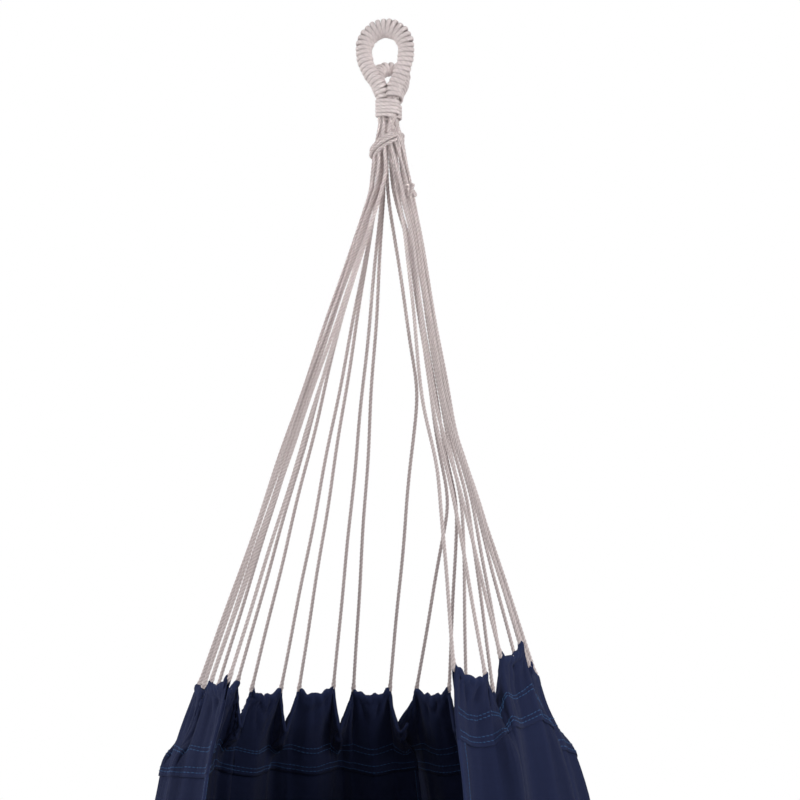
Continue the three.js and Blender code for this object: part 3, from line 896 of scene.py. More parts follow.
    def neck_winding_path(self) -> tuple[Array, Array]:
        """The cord wound round the neck, an oval helix that goes down one pitch in each turn.

        Its ends are tucked in.

        Returns:
            The winding's middle line, and the direction away from the neck.
        """
        steps = round(self.neck_turns * 48)
        turn = TURN * np.linspace(0, self.neck_turns, steps + 1)
        tuck = self.neck_tuck * (1 - held_ends(steps + 1, self.tuck_steps))
        away = self.flattened * self.neck_winding.diameter / 2 - tuck
        half_width, half_depth = neck_half_width + away, neck_half_depth + away
        z = -neck_top_drop - self.neck_start - turn / TURN * self.neck_pitch
        points = np.stack([self.shift + half_width * np.sin(turn), -half_depth * np.cos(turn), z], axis=1)
        spoke = unit(np.stack([half_depth * np.sin(turn), -half_width * np.cos(turn), 0 * turn], axis=1))
        return self.set_down(points), self.turn_with(spoke)

    def build(self, finishes: Finishes) -> None:
        """Makes the winding of the eye and that of the neck.

        Args:
            finishes: the chair's materials.
        """
        for part, cord, (path, spoke), node in (
            ("eye_turns", self.winding, self.winding_path(), "eye_whipping"),
            ("neck_turns", self.neck_winding, self.neck_winding_path(), "neck_whipping"),
        ):
            surface = Surface()
            # The windings get painted shade at their seams.
            cord.sweep(surface, path, spoke, flat=self.flattened, seam=self.seam_shade)
            piece = surface.to_object(f"{self.name}_{part}", finishes.wound, "cotton_cord")
            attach(piece, Body.EYES.value)
            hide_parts(f"{self.name}_{node}")


@dataclass
class Hitch:
    """Where the cords of both necks run together, and the cord that binds them."""

    drop: float = 0.141
    centre_x: float = -0.002
    half_width: float = 0.0205
    half_depth: float = 0.0262
    slant: float = math.radians(31)
    pitch: float = 0.0056
    turns: float = 2.6
    tuck: float = 0.005
    tuck_steps: int = 36
    neck_end: float = -0.112
    outer_ring: tuple[float, float] = (0.0162, 0.0206)
    inner_ring: tuple[float, float] = (0.0104, 0.0140)
    over_ring: tuple[float, float] = (0.0195, 0.0310)
    over_from: float = math.radians(48)
    over_to: float = math.radians(112)
    cord: Cord = Cord(0.0054, 0.017)
    strand_step: float = 0.0012
    strand_bend: float = 0.0045

    def held_at(self, angle: Array, outside: Array) -> Array:
        """Where a cord passes the hitch, on one of two ovals, at the height of the slanted binding there.

        The cords of the right front pass over the binding, on a third oval.

        Args:
            angle: the turn from the front, positive towards +X.
            outside: true on the outer oval.

        Returns:
            A point for each cord.
        """
        over = (angle > self.over_from) & (angle < self.over_to)
        half_x, half_y = (
            np.where(over, widest, np.where(outside, outer, inner))
            for widest, outer, inner in zip(self.over_ring, self.outer_ring, self.inner_ring)
        )
        x = self.centre_x + half_x * np.sin(angle)
        y = neck_middle_y - half_y * np.cos(angle)
        return np.stack([x, y, -self.drop + (x - self.centre_x) * math.tan(self.slant)], axis=-1)

    def build_eye_cords(self, eyes: Sequence[Eye], held: Array, finishes: Finishes) -> None:
        """Makes the cords of each eye, down through its neck to the hitch.

        The ends in the necks and the places at the hitch are paired by their turn about the middle.

        Args:
            eyes: the two eyes that the cords come from.
            held: where the cords pass the hitch, one point for each leg of the fan.
            finishes: the chair's materials.
        """
        paths = [(eye, path) for eye in eyes for path in eye.strand_paths(self.neck_end)]
        feet = np.array([end for _, path in paths for end in (path[0], path[-1])])
        middle = np.array([0, neck_middle_y])
        by_turn = [np.argsort(np.arctan2(*(points[:, :2] - middle).T[::-1])) for points in (feet, held)]
        target = np.empty_like(feet)
        target[by_turn[0]] = held[by_turn[1]]
        for index, eye in enumerate(eyes):
            surface = Surface()
            for number, (owner, path) in enumerate(paths):
                if owner is not eye:
                    continue
                both = np.vstack([target[2 * number], path, target[2 * number + 1]])
                even = soften(resample(both, self.strand_step), self.strand_bend, self.strand_step)
                across = np.tile([0.0, 1.0, 0.02], (len(even), 1))
                eye.strand.sweep(surface, even, across, start=1.7 * number)
            piece = surface.to_object(f"{eye.name}_eye_cords", finishes.cotton, "cotton_cord")
            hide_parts(f"{eye.name}_eye_core", *(["gathered_cords"] if index == 0 else []))
            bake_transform(piece)

    def build_turns(self, finishes: Finishes) -> None:
        """Makes the binding: an oval helix on a slanted plane, with its ends tucked in.

        Args:
            finishes: the chair's materials.
        """
        steps = round(self.turns * 60)
        turn = TURN * np.linspace(-self.turns / 2, self.turns / 2, steps + 1)
        away = -self.tuck * (1 - held_ends(steps + 1, self.tuck_steps))
        x = (self.half_width + away) * np.sin(turn)
        y = (self.half_depth + away) * -np.cos(turn)
        z = -self.drop + x * math.tan(self.slant) + self.pitch * turn / TURN
        path = np.stack([self.centre_x + x, neck_middle_y + y, z], axis=1)
        spoke_x, spoke_y = self.half_depth * np.sin(turn), -self.half_width * np.cos(turn)
        surface = Surface()
        self.cord.sweep(surface, path, unit(np.stack([spoke_x, spoke_y, 0 * turn], axis=1)))
        piece = surface.to_object("hitch_turns", finishes.cotton, "cotton_cord")
        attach(piece, Body.HITCH.value)
        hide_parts("harness_hitch")

    def build(self, eyes: Sequence[Eye], held: Array, finishes: Finishes) -> None:
        """Makes the cords above the hitch, and the hitch's own turns."""
        self.build_eye_cords(eyes, held, finishes)
        self.build_turns(finishes)


@dataclass(frozen=True)
class HemPlace:
    """The hem at places along it: its turn from the front, its rise and sag, and which way it pleats."""

    angle: Array
    rise: Array
    sag: Array
    pleat: Array


@dataclass
class ClothForm:
    """The form of the hanging cloth, from the left hem under the seat to the right one.

    A place on it is given by its distance along the hem from the front edge, and its fall, the distance down
    from the left hem and up again to the right one.
    """

    loops: int = 7
    hem_drop: float = 0.850
    hem_radius: float = 0.221
    centre_x: float = -0.012
    centre_y: float = -0.050
    opening: float = math.radians(41.5)
    back_gap: float = math.radians(1.2)
    tunnel_share: float = 0.64
    tunnel_sag: float = 0.12
    notch_cloth: float = 0.092
    notch_sag: float = 0.052
    notch_blunt: float = 0.012
    notch_low: dict[Side, float] = field(default_factory=lambda: {Side.LEFT: 0.30, Side.RIGHT: 0.66})
    hem_rise: float = 0.055
    casing_depth: float = 0.106
    lap: tuple[float, float] = (0.012, 0.007)
    lap_width: float = 0.04
    cloth_drop: float = 0.710
    belly_drop: float = 0.330
    belly_half_width: float = 0.271
    hem_draw: float = 0.010
    hem_draw_depth: float = 0.09
    edge_chord: dict[Side, tuple[float, float]] = field(
        default_factory=lambda: {Side.LEFT: (0.132, 0.149), Side.RIGHT: (0.139, 0.158)}
    )
    edge_depth: float = 0.16
    half_depth: float = 0.385
    flat_from: float = 0.35
    lift: float = 0.130
    shift_x: float = 0.024
    shift_y: float = 0.050
    pleat_depth: float = 0.028
    seat_pleat_depth: float = 0.019
    pleat_wander: float = 0.017
    gather_depth: float = 0.0016
    gather_pitch: float = 0.0137
    gather_reach: float = 0.075
    crease_depth: float = 0.0016
    crease_reach: float = 0.045
    long_fold_depth: float = 0.0085
    short_fold_depth: float = 0.0011
    rises: dict[Side, tuple[tuple[float, float], ...]] = field(
        default_factory=lambda: {
            Side.LEFT: ((0.27, 0.14), (0.09, 0.09), (0, 0.05), (0, 0.18), (0, 0), (0, 0.06), (0, 0), (0, 0)),
            Side.RIGHT: ((0.50, 0.28), (0.74, 0.98), (0.55, 0.30), (0.25, 0.20)) + 4 * ((0, 0),),
        }
    )

    def __post_init__(self) -> None:
        """Works out the tunnels' pitch, the cloth's width and length, and draws the small folds' waves."""
        self.pitch = (math.pi - self.back_gap - self.opening) / (self.loops - (1 - self.tunnel_share) / 2)
        self.tunnel_cloth = self.hem_radius * self.tunnel_share * self.pitch
        self.loop_cloth = self.tunnel_cloth + self.notch_cloth
        self.width = (self.loops - 1) * self.loop_cloth + self.tunnel_cloth + self.notch_cloth / 2
        turn = np.linspace(0, math.pi / 2, 400)
        below = self.cloth_drop - self.belly_drop
        ellipse = np.stack([self.belly_half_width * np.cos(turn), below * np.sin(turn), 0 * turn], axis=1)
        self.quarter = run_of(ellipse)[-1]
        self.length = 2 * (self.belly_drop + self.quarter)
        self.long_folds = waves(11, 9, 0.36, 0.12)
        self.short_folds = waves(23, 14, 0.075, 0.030)
        self.drift = waves(5, 5, 0.9, 0.35)

    def hem_place(self, along: Array, side: Side) -> HemPlace:
        """The hem at places along it.

        A tunnel sags a little in its middle, and the notch after it falls in a leaning V with a blunt point,
        while the pleat goes inward behind the tunnels and outward behind the notches, each as half a sine.

        Args:
            along: the places, as distances from the front edge.
            side: the end of the cloth.

        Returns:
            The hem's form at each of them.
        """
        loop = np.clip(np.floor(along / self.loop_cloth), 0, self.loops - 1).astype(int)
        local = along - loop * self.loop_cloth
        tunnel = np.clip(local / self.tunnel_cloth, 0, 1)
        notch = np.clip((local - self.tunnel_cloth) / self.notch_cloth, 0, 1)
        passed = loop + self.tunnel_share * tunnel + (1 - self.tunnel_share) * notch
        starts, ends = np.array(self.rises[side], dtype=float).T
        tilt = (ends[loop] - starts[loop]) * tunnel + (starts[loop + 1] - ends[loop]) * notch
        low, blunt = self.notch_low[side], self.notch_blunt
        leaned = np.where(notch < low, 0.5 * notch / low, 1 - 0.5 * (1 - notch) / (1 - low))
        valley = math.sqrt(1 + blunt) - np.sqrt((2 * leaned - 1) ** 2 + blunt)
        return HemPlace(
            angle=self.opening + self.pitch * passed,
            rise=self.hem_rise * (starts[loop] + tilt),
            sag=self.tunnel_sag * arch(tunnel) ** 0.7 + valley / (math.sqrt(1 + blunt) - math.sqrt(blunt)),
            pleat=0.1 - 0.55 * arch(tunnel) ** 1.3 + 0.45 * arch(notch) ** 1.5,
        )

    def from_mouth(self, along: Array) -> Array:
        """How far places on the hem are from the nearest end of a tunnel."""
        local = np.mod(along, self.loop_cloth)
        return np.minimum(np.minimum(local, np.abs(local - self.tunnel_cloth)), self.loop_cloth - local)

    def base(self, along: Array, fall: Array, side: Side) -> Array:
        """The cloth without its pleats.

        The wall is an oval tube, open at the front, that widens to the belly and turns under the seat on a
        quarter ellipse. The cords draw its hem in a little, and its front edges, a chord apart, hang nearly
        straight down. Below the belly the oval straightens into the flat width of the cloth, whose edges
        lift. At the back the two ends lap over each other by a finger's width.

        Args:
            along: distances along the hem.
            fall: distances down the fall.
            side: the end of the cloth whose hem is followed.

        Returns:
            A point for each place.
        """
        along, fall = np.broadcast_arrays(along, fall)
        hem = self.hem_place(along, side)
        depth = np.minimum(fall, self.length - fall)
        under = np.clip((depth - self.belly_drop) / self.quarter, 0, 1) * math.pi / 2
        drop = np.minimum(depth, self.belly_drop) + (self.cloth_drop - self.belly_drop) * np.sin(under)
        down = drop / self.cloth_drop
        swell = np.sin(np.clip(drop / self.belly_drop, 0, 1) * math.pi / 2)
        drawn = self.hem_draw * (1 - smooth(drop / self.hem_draw_depth))
        hang = self.hem_radius - drawn + (self.belly_half_width - self.hem_radius) * swell
        half_width = np.where(depth < self.belly_drop, hang, self.belly_half_width * np.cos(under))
        deepened = (self.half_depth - self.hem_radius) * np.sin(down * math.pi / 2)
        half_depth = self.hem_radius - drawn + deepened
        at_hem, below = self.edge_chord[side]
        opening = np.arcsin((at_hem + (below - at_hem) * smooth(drop / self.edge_depth)) / hang)
        angle = opening + (math.pi - opening) * (hem.angle - self.opening) / (math.pi - self.opening)
        flatten = smooth((down - self.flat_from) / (1 - self.flat_from))
        across = 2 * along / self.width - 1
        round_y = -half_depth * np.cos(angle)
        straightened = (self.half_depth * across - round_y) * flatten
        y = self.centre_y + self.shift_y * smooth(down) + round_y + straightened
        x = self.centre_x + self.shift_x * smooth(down) + side.value * half_width * np.sin(angle)
        at_back = smooth((along - self.width + self.lap_width) / self.lap_width)
        lap = at_back * (1 - smooth((down - 0.5) / 0.3))
        x, y = x - side.value * self.lap[0] * lap, y + side.value * self.lap[1] * lap
        sunk = self.notch_sag * hem.sag * (1 - smooth(drop / self.casing_depth))
        height = hem.rise * (1 - down) ** 2 - sunk
        z = -self.hem_drop - drop + height + self.lift * flatten * across**2
        return np.stack([x, y, z], axis=-1)

    def normals(self, form: Callable[[Array, Array], Array], along: Array, fall: Array) -> Array:
        """The outward direction of a form, from its slopes along the hem and down the fall.

        Args:
            form: gives the points of some places.
            along: distances along the hem.
            fall: distances down the fall.

        Returns:
            A unit vector for each place.
        """
        step = 0.0015
        slope_along = form(along + step, fall) - form(along - step, fall)
        slope_down = form(along, fall + step) - form(along, fall - step)
        return unit(np.cross(slope_along, slope_down))

    def folds(self, along: Array, fall: Array, side: Side) -> Array:
        """How far the cloth stands out from its base.

        The main pleats start at the hem, wander sideways as they go down, and run on flatter under the seat.
        Gathers run down from the tunnels and creases fan out from their mouths, and both die out in a hand's
        width. Long and short soft folds lie over the rest.

        Args:
            along: distances along the hem.
            fall: distances down the fall.
            side: the end of the cloth whose hem is followed.

        Returns:
            A distance for each place.
        """
        edge_width, hem_width, creases_round = 0.05, 0.01, 13
        along, fall = np.broadcast_arrays(along, fall)
        share = fall / self.length
        down = 1 - np.abs(2 * share - 1)
        hem_near = np.minimum(fall, self.length - fall)
        inside = smooth(along / edge_width) * smooth((self.width - along) / edge_width)
        wander = self.pleat_wander * self.drift(along, 0.5 * fall) * arch(np.clip(share, 0, 1))
        pleat = self.hem_place(np.clip(along + wander * inside, 0, self.width), side).pleat
        walls = arch(np.sqrt(np.clip(down, 0, 1) ** 1.08))
        under = smooth((down - 0.5) / 0.5)
        depth = self.pleat_depth * walls * (1 - under) + self.seat_pleat_depth * under
        fading = np.exp(-((hem_near / self.gather_reach) ** 1.3))
        gather = self.gather_depth * (0.5 - 0.5 * pleat) * fading * smooth(hem_near / hem_width)
        gathers = gather * np.sin(TURN * along / self.gather_pitch + 2.2 * np.sin(along * 41 + side.value))
        fan = np.arctan2(self.from_mouth(along), hem_near + hem_width)
        fan = fan + 0.25 * self.drift(along * 9, fall * 6)
        creases = self.crease_depth * np.cos(creases_round * fan) * np.exp(-hem_near / self.crease_reach)
        creases = creases * smooth(hem_near / hem_width)
        long_folds = self.long_fold_depth * self.long_folds(along, 0.30 * fall) * smooth(hem_near / 0.30)
        short_folds = self.short_fold_depth * self.short_folds(along, 0.35 * fall) * smooth(hem_near / 0.05)
        return depth * pleat + gathers + creases + long_folds + short_folds

    def on_side(self, along: Array, fall: Array, side: Side) -> Array:
        """The folded cloth, as the left or right hem shapes it.

        Args:
            along: distances along the hem.
            fall: distances down the fall.
            side: the end of the cloth whose hem is followed.

        Returns:
            A point for each place.
        """
        base = self.base(along, fall, side)
        normal = self.normals(lambda a, f: self.base(a, f, side), along, fall)
        return base + self.folds(along, fall, side)[..., None] * normal

    def point(self, along: Array, fall: Array) -> Array:
        """The folded cloth, by the hem that each place is nearer to.

        Args:
            along: distances along the hem.
            fall: distances down the fall.

        Returns:
            A point for each place.
        """
        along, fall = np.broadcast_arrays(along, fall)
        left = (fall < self.length / 2)[..., None]
        return np.where(left, self.on_side(along, fall, Side.LEFT), self.on_side(along, fall, Side.RIGHT))


@dataclass
class CordFan:
    """The fourteen cord loops, each from the hitch through a tunnel of the hem and back.

    Gathers and stray are routes: for each place on a leg, how far down and how far across it is, and how wide
    the fan is there.
    """

    cloth: ClothForm
    hitch: Hitch
    top_drop: float = 0.176
    top_x: float = 0.002
    inner_ring: float = 0.0165
    outer_ring: float = 0.0235
    settle_drop: float = 0.198
    settle_spread: dict[Side, float] = field(default_factory=lambda: {Side.LEFT: 1.08, Side.RIGHT: 1.25})
    stagger: tuple[float, float] = (0.0024, 0.0055)
    cord: Cord = Cord()
    step: float = 0.0012
    free_bend: float = 0.008
    gathered_bend: float = 0.020
    hem_bend: float = 0.0022
    slack: float = 0.0007
    slack_waves: tuple[float, float] = (0.19, 0.23)
    knob: float = 0.38
    knob_reach: float = 0.006
    gather_shift: float = 0.060
    gathers: tuple[tuple[float, float, float], ...] = (
        (0.13, 0.24, 0.127),
        (0.28, 0.42, 0.154),
        (0.51, 0.70, 0.200),
        (0.63, 0.88, 0.280),
    )
    stray: tuple[tuple[float, float, float], ...] = ((0.41, 0.37, 0.0),)
    knotted_loop: int = 2
    knot_cord: Cord = Cord(0.0050, 0.016)
    knot_drop: float = 0.206
    knot_shift: tuple[float, float, float] = (-0.0005, -0.0095, 0.0)
    knot_ring: tuple[float, float] = (0.0046, 0.0016)
    knot_half_length: float = 0.0072

    def turn_at_hem(self, order: int) -> float:
        """A leg's turn from the front at the hem: even legs at a tunnel's start, odd ones at its end."""
        return self.cloth.opening + self.cloth.pitch * (order // 2 + self.cloth.tunnel_share * (order % 2))

    def bundle(self, side: Side) -> tuple[tuple[float, float, float], ...]:
        """The bundle's places under the hitch: how low, how far the legs have parted, and how wide it is."""
        return ((self.top_drop, 0.15, 1.0), (self.settle_drop, 0.40, self.settle_spread[side]))

    def held(self) -> Array:
        """Where each leg passes the hitch: left legs first, from front to back, then right ones.

        Returns:
            A point for each leg.
        """
        order = np.arange(2 * self.cloth.loops)
        angle = math.pi * (order + 0.5) / len(order)
        left = self.hitch.held_at(-angle, order % 2 == 0)
        right = self.hitch.held_at(angle, order % 2 == 1)
        return np.vstack([left, right])

    def leg(
        self, side: Side, order: int, hem_point: Array, held: Array, route: Sequence[Sequence[float]]
    ) -> Array:
        """One leg, from the hitch down to the hem, straight but for the places of its route.

        At the hitch the legs go all the way round, and below it they part at the front, towards their turns
        at the hem. Those at the front stand a little to the right of those at the back, so that the bundle is
        closed. The slack is two sideways sine waves, highest halfway down.

        Args:
            side: the end of the cloth.
            order: the leg's number from the front.
            hem_point: where it meets the hem.
            held: where it passes the hitch.
            route: the places that it goes by.

        Returns:
            Points an even step apart.
        """
        ring = self.outer_ring if (order % 2 == 0) is (side is Side.LEFT) else self.inner_ring
        at_hitch, at_hem = math.pi * (order + 0.5) / (2 * self.cloth.loops), self.turn_at_hem(order)
        points = [held + [self.stagger[0] * math.cos(at_hitch), 0, 0]]
        for drop, parted, spread in self.bundle(side):
            angle = at_hitch + (at_hem - at_hitch) * parted
            away = ring * spread * side.value * math.sin(angle)
            x = self.top_x + away + self.stagger[1] * math.cos(angle)
            points.append(np.array([x, neck_middle_y - ring * spread * math.cos(angle), -drop]))
        top = points[1]
        for down, across, wide in route:
            place = top + (hem_point - top) * down
            half_width = self.cloth.hem_radius * wide - (self.outer_ring - ring) * (1 - down)
            place[0] = self.top_x + self.gather_shift * across + half_width * side.value * math.sin(at_hem)
            points.append(place)
        points.append(hem_point)
        bend = self.gathered_bend if route else self.free_bend
        even = soften(resample(np.array(points), self.step), bend, self.step)
        run = run_of(even)
        slack = self.slack * np.sin(math.pi * run / run[-1])
        phase = 7.3 * at_hem + side.value
        for axis, wave in enumerate(self.slack_waves):
            even[:, axis] += slack * np.sin(TURN * run / wave + (axis + 1) * phase)
        return even

    def loop_path(self, side: Side, loop: int) -> tuple[Array, Array, Array]:
        """A whole loop: down one leg, through its tunnel and up the other.

        The cord is knobbly where it goes into the hem and comes out: thicker by two narrow bells.

        Args:
            side: the end of the cloth.
            loop: the loop's number from the front, from 0.

        Returns:
            The path, the outward direction at each of its points, and the cord's thickness as a share.
        """
        cloth = self.cloth
        held = self.held().reshape(2, 2 * cloth.loops, 3)[0 if side is Side.LEFT else 1]
        along = loop * cloth.loop_cloth + np.linspace(0, cloth.tunnel_cloth, 40) * 0.9999
        hem = cloth.base(along, np.zeros_like(along), side)
        route = self.gathers if side is Side.RIGHT else ()
        back_route = self.stray if side is Side.LEFT and loop == cloth.loops - 1 else route
        down = self.leg(side, 2 * loop, hem[0], held[2 * loop], route)
        up = self.leg(side, 2 * loop + 1, hem[-1], held[2 * loop + 1], back_route)[::-1]
        whole = resample(np.vstack([down, hem[1:-1], up]), self.step)
        path = soften(whole, self.hem_bend, self.step)
        run = run_of(path)
        mouths = np.array([run_of(down)[-1], run[-1] - run_of(up)[-1]])
        turn = np.interp(run, mouths, [self.turn_at_hem(2 * loop), self.turn_at_hem(2 * loop + 1)])
        across = np.stack([side.value * np.sin(turn), -np.cos(turn), 0 * turn], axis=1)
        from_knobs = run[:, None] - mouths - [-self.knob_reach, self.knob_reach]
        return path, across, 1 + self.knob * bell(from_knobs, self.knob_reach).sum(axis=1)

    def build_loop(self, side: Side, loop: int, finishes: Finishes) -> float:
        """Makes one loop.

        Args:
            side: the end of the cloth.
            loop: the loop's number from the front, from 0.
            finishes: the chair's materials.

        Returns:
            The length of its middle line.
        """
        name = side.name.lower()
        path, across, scale = self.loop_path(side, loop)
        surface = Surface()
        self.cord.sweep(surface, path, across, start=2.4 * loop, scale=scale)
        piece = surface.to_object(f"{name}_cord_{loop + 1}", finishes.cotton, "cotton_cord")
        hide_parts(f"{name}_cord_loop_{loop + 1}")
        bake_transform(piece)
        return run_of(path)[-1]

    def build_knot(self, finishes: Finishes) -> None:
        """Makes the overhand knot on one of the loops.

        Its line goes round a ring twice while it winds three times through the ring's hole.

        Args:
            finishes: the chair's materials.
        """
        path, _, _ = self.loop_path(Side.RIGHT, self.knotted_loop)
        leg = path[len(path) // 2 :]
        index = int(np.argmin(np.abs(leg[:, 2] + self.knot_drop)))
        axis = unit(leg[index + 4] - leg[index - 4])
        first = unit(np.cross(axis, [0.0, 1.0, 0.0]))
        second = np.cross(axis, first)
        t = np.linspace(0, TURN, 260)
        ring = self.knot_ring[0] + self.knot_ring[1] * np.cos(3 * t)
        flat = np.outer(ring * np.cos(2 * t), first) + np.outer(ring * np.sin(2 * t), second)
        knot = leg[index] + self.knot_shift + flat + np.outer(self.knot_half_length * np.sin(3 * t), axis)
        surface = Surface()
        self.knot_cord.sweep(surface, knot, flat)
        piece = surface.to_object("right_cord_overhand_knot", finishes.cotton, "cotton_cord")
        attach(piece, Body.SEAT.value)
        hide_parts("right_cord_knot")

    def build(self, finishes: Finishes) -> None:
        """Makes the loops, and the knot on one of them.

        Args:
            finishes: the chair's materials.
        """
        for side in Side:
            lengths = [self.build_loop(side, loop, finishes) for loop in range(self.cloth.loops)]
            log.info("%s cords, metres: %s", side.name, [round(length, 3) for length in lengths])
        self.build_knot(finishes)


@dataclass
class SeatCloth:
    """The cloth, its two hems folded over the cords, its narrow side hems, and the sewing."""

    form: ClothForm
    cloth_thickness: float = 0.0012
    casing_thickness: float = 0.0011
    fold_radius: float = 0.0017
    tunnel_radius: float = 0.0036
    pucker_pitch: float = 0.0093
    crease_depth: float = 0.0016
    crease_pitch: float = 0.0151
    pull: float = 0.0045
    pull_width: float = 0.0065
    pull_depth: float = 0.018
    rim_depth: float = 0.02
    hem_lift: dict[Side, tuple[float, float]] = field(
        default_factory=lambda: {Side.LEFT: (0.0, 0.0), Side.RIGHT: (0.030, 0.016)}
    )
    lift_reach: float = 0.035
    lift_even_to: float = 0.22
    lift_fade: float = 0.30
    columns: int = 420
    side_hem: float = 0.012
    side_hem_thickness: float = 0.0009
    side_hem_stand: float = 0.0012
    side_hem_seam: float = 0.0095
    side_hem_tucked: float = 0.01
    stitch_rows: tuple[float, ...] = (0.0685, 0.0745, 0.0945, 0.1010)
    stitch_pitch: float = 0.0042
    stitch_length: float = 0.0037
    stitch_radius: float = 0.00055

    def add_thickness(self, piece: bpy.types.Object, thickness: float) -> None:
        """Gives a sheet its thickness, half on each face.

        Args:
            piece: the sheet.
            thickness: how thick it becomes.
        """
        solid = piece.modifiers.new("thickness", "SOLIDIFY")
        solid.thickness = thickness
        solid.offset = 0.0

    def hem_form(self, side: Side) -> Callable[[Array, Array], Array]:
        """The cloth near one hem, by its depth below that hem.

        Args:
            side: the end of the cloth.

        Returns:
            A form that takes distances along the hem and depths below it.
        """
        if side is Side.LEFT:
            return lambda along, depth: self.form.on_side(along, depth, side)
        return lambda along, depth: self.form.on_side(along, self.form.length - depth, side)

    def outward(self, side: Side, along: Array, depth: Array) -> Array:
        """The outward direction near one hem."""
        return side.value * -1 * self.form.normals(self.hem_form(side), along, depth)

    def lifted(self, side: Side, along: Array) -> Array:
        """How much shallower a hem is sewn: evenly at its front, by a bell more at the first notch.

        Args:
            side: the end of the cloth.
            along: distances along the hem.

        Returns:
            A distance for each of them.
        """
        even, at_notch = self.hem_lift[side]
        notch = self.form.tunnel_cloth + self.form.notch_cloth / 2
        fading = 1 - smooth((along - self.lift_even_to) / self.lift_fade)
        return (even + at_notch * bell(along - notch, self.lift_reach)) * fading

    def casing_grid(self, side: Side) -> tuple[Array, Array, Array]:
        """One hem's casing: up the outside, over the cord on a half circle, and down the inside.

        The half circle is wide in the tunnels, where it puckers, and tight in the notches. Where a cord goes
        in or comes out, the hem is pulled up into a small peak.

        Args:
            side: the end of the cloth.

        Returns:
            The grid of points, their UV places in metres, and their wear.
        """
        full, rim = self.form.casing_depth, self.rim_depth
        along = np.linspace(0, self.form.width, self.columns)
        depth = np.array([*np.linspace(full, rim, 26), 0.016, 0.012, 0.009, 0.0065, 0.004, 0.002])
        form = self.hem_form(side)
        a, d = np.meshgrid(along, depth)
        d = d - self.lifted(side, along) * np.clip((d - rim) / (full - rim), 0, 1)
        at_hem = along[None, :]
        local = np.mod(along, self.form.loop_cloth)
        tunnel = smooth((local + 0.003) / 0.005) * smooth((self.form.tunnel_cloth + 0.004 - local) / 0.006)
        pucker = np.sin(TURN * along / self.pucker_pitch + 2.4 * np.sin(along * 57 + side.value))
        radius = self.fold_radius + (self.tunnel_radius - self.fold_radius) * tunnel
        radius = radius * (1 + 0.22 * tunnel * pucker)
        crease = np.sin(TURN * along / self.crease_pitch + 1.9 * np.sin(along * 37 - 2 * side.value))
        pull = self.pull * bell(self.form.from_mouth(along), self.pull_width)
        pull = pull + self.crease_depth * tunnel * crease
        points, normal = form(a, d), self.outward(side, a, d)
        hem = form(at_hem, np.zeros_like(at_hem))[0]
        hem_normal = self.outward(side, at_hem, np.full_like(at_hem, 0.002))[0]
        upward = hem - form(at_hem, np.full_like(at_hem, 0.006))[0]
        upward = unit(upward - (upward * hem_normal).sum(axis=1, keepdims=True) * hem_normal)
        raised = (pull[None, :] * bell(depth, self.pull_depth)[:, None])[..., None] * upward[None, :, :]
        layer = self.fold_radius + (radius[None, :] - self.fold_radius) * bell(depth, 0.007)[:, None]
        outer = points + raised + layer[..., None] * normal
        inner = points + raised - layer[..., None] * normal
        bend = np.linspace(0, math.pi, 11)[1:-1, None, None]
        spoke = np.cos(bend) * hem_normal[None, :, :] + np.sin(bend) * upward[None, :, :]
        over = hem[None, :, :] + (pull[:, None] * upward)[None, :, :] + radius[None, :, None] * spoke
        run = np.concatenate([-depth, np.linspace(0, 0.006, len(over)), 0.008 + depth[::-1]])
        from_top = np.abs(run - 0.003)
        tint_share = bell(from_top, 0.006)[:, None] * (0.5 + 0.5 * tunnel)[None, :]
        ends = np.exp(-np.abs(from_top - full) / 0.003)[:, None] * 0.5
        grid = np.concatenate([outer, over, inner[::-1]])
        return grid, np.stack(np.meshgrid(along, run), axis=-1), np.maximum(tint_share, ends)

    def add_stitches(self, surface: Surface, along: Array, fall: Array, upright: bool, stand: float) -> None:
        """Lays stitches on the cloth, each a thin bead that dips into it at both ends.

        Args:
            surface: where the stitches go.
            along: each stitch's place along the hem.
            fall: and down the fall.
            upright: true for a seam that runs down the fall.
            stand: how far the seam stands off the cloth's middle, negative on the inside.
        """
        share = np.array([-1, -0.55, 0.55, 1])
        thick = np.array([0.5, 1, 1, 0.5])
        dip = np.array([-0.0004, 0.00015, 0.00015, -0.0004])
        shift = share[None, :] * self.stitch_length / 2
        a = along[:, None] + (0 if upright else shift)
        f = fall[:, None] + (shift if upright else 0)
        a, f = np.broadcast_arrays(a, f)
        points = self.form.point(a, f)
        normal = self.form.normals(self.form.point, a, f)
        middle = points + (stand + math.copysign(1, stand) * dip)[None, :, None] * normal
        aside = np.cross(unit(np.gradient(middle, axis=1)), normal)
        turn = np.arange(5) / 5 * TURN
        cos, sin = np.cos(turn)[:, None], np.sin(turn)[:, None]
        spoke = cos * normal[:, :, None, :] + sin * aside[:, :, None, :]
        radius = self.stitch_radius * thick
        grids = middle[:, :, None, :] + radius[None, :, None, None] * spoke
        uv = np.stack(np.meshgrid(np.arange(6) / 5, share * self.stitch_length / 2), axis=-1)
        surface.add_many(grids, uv)

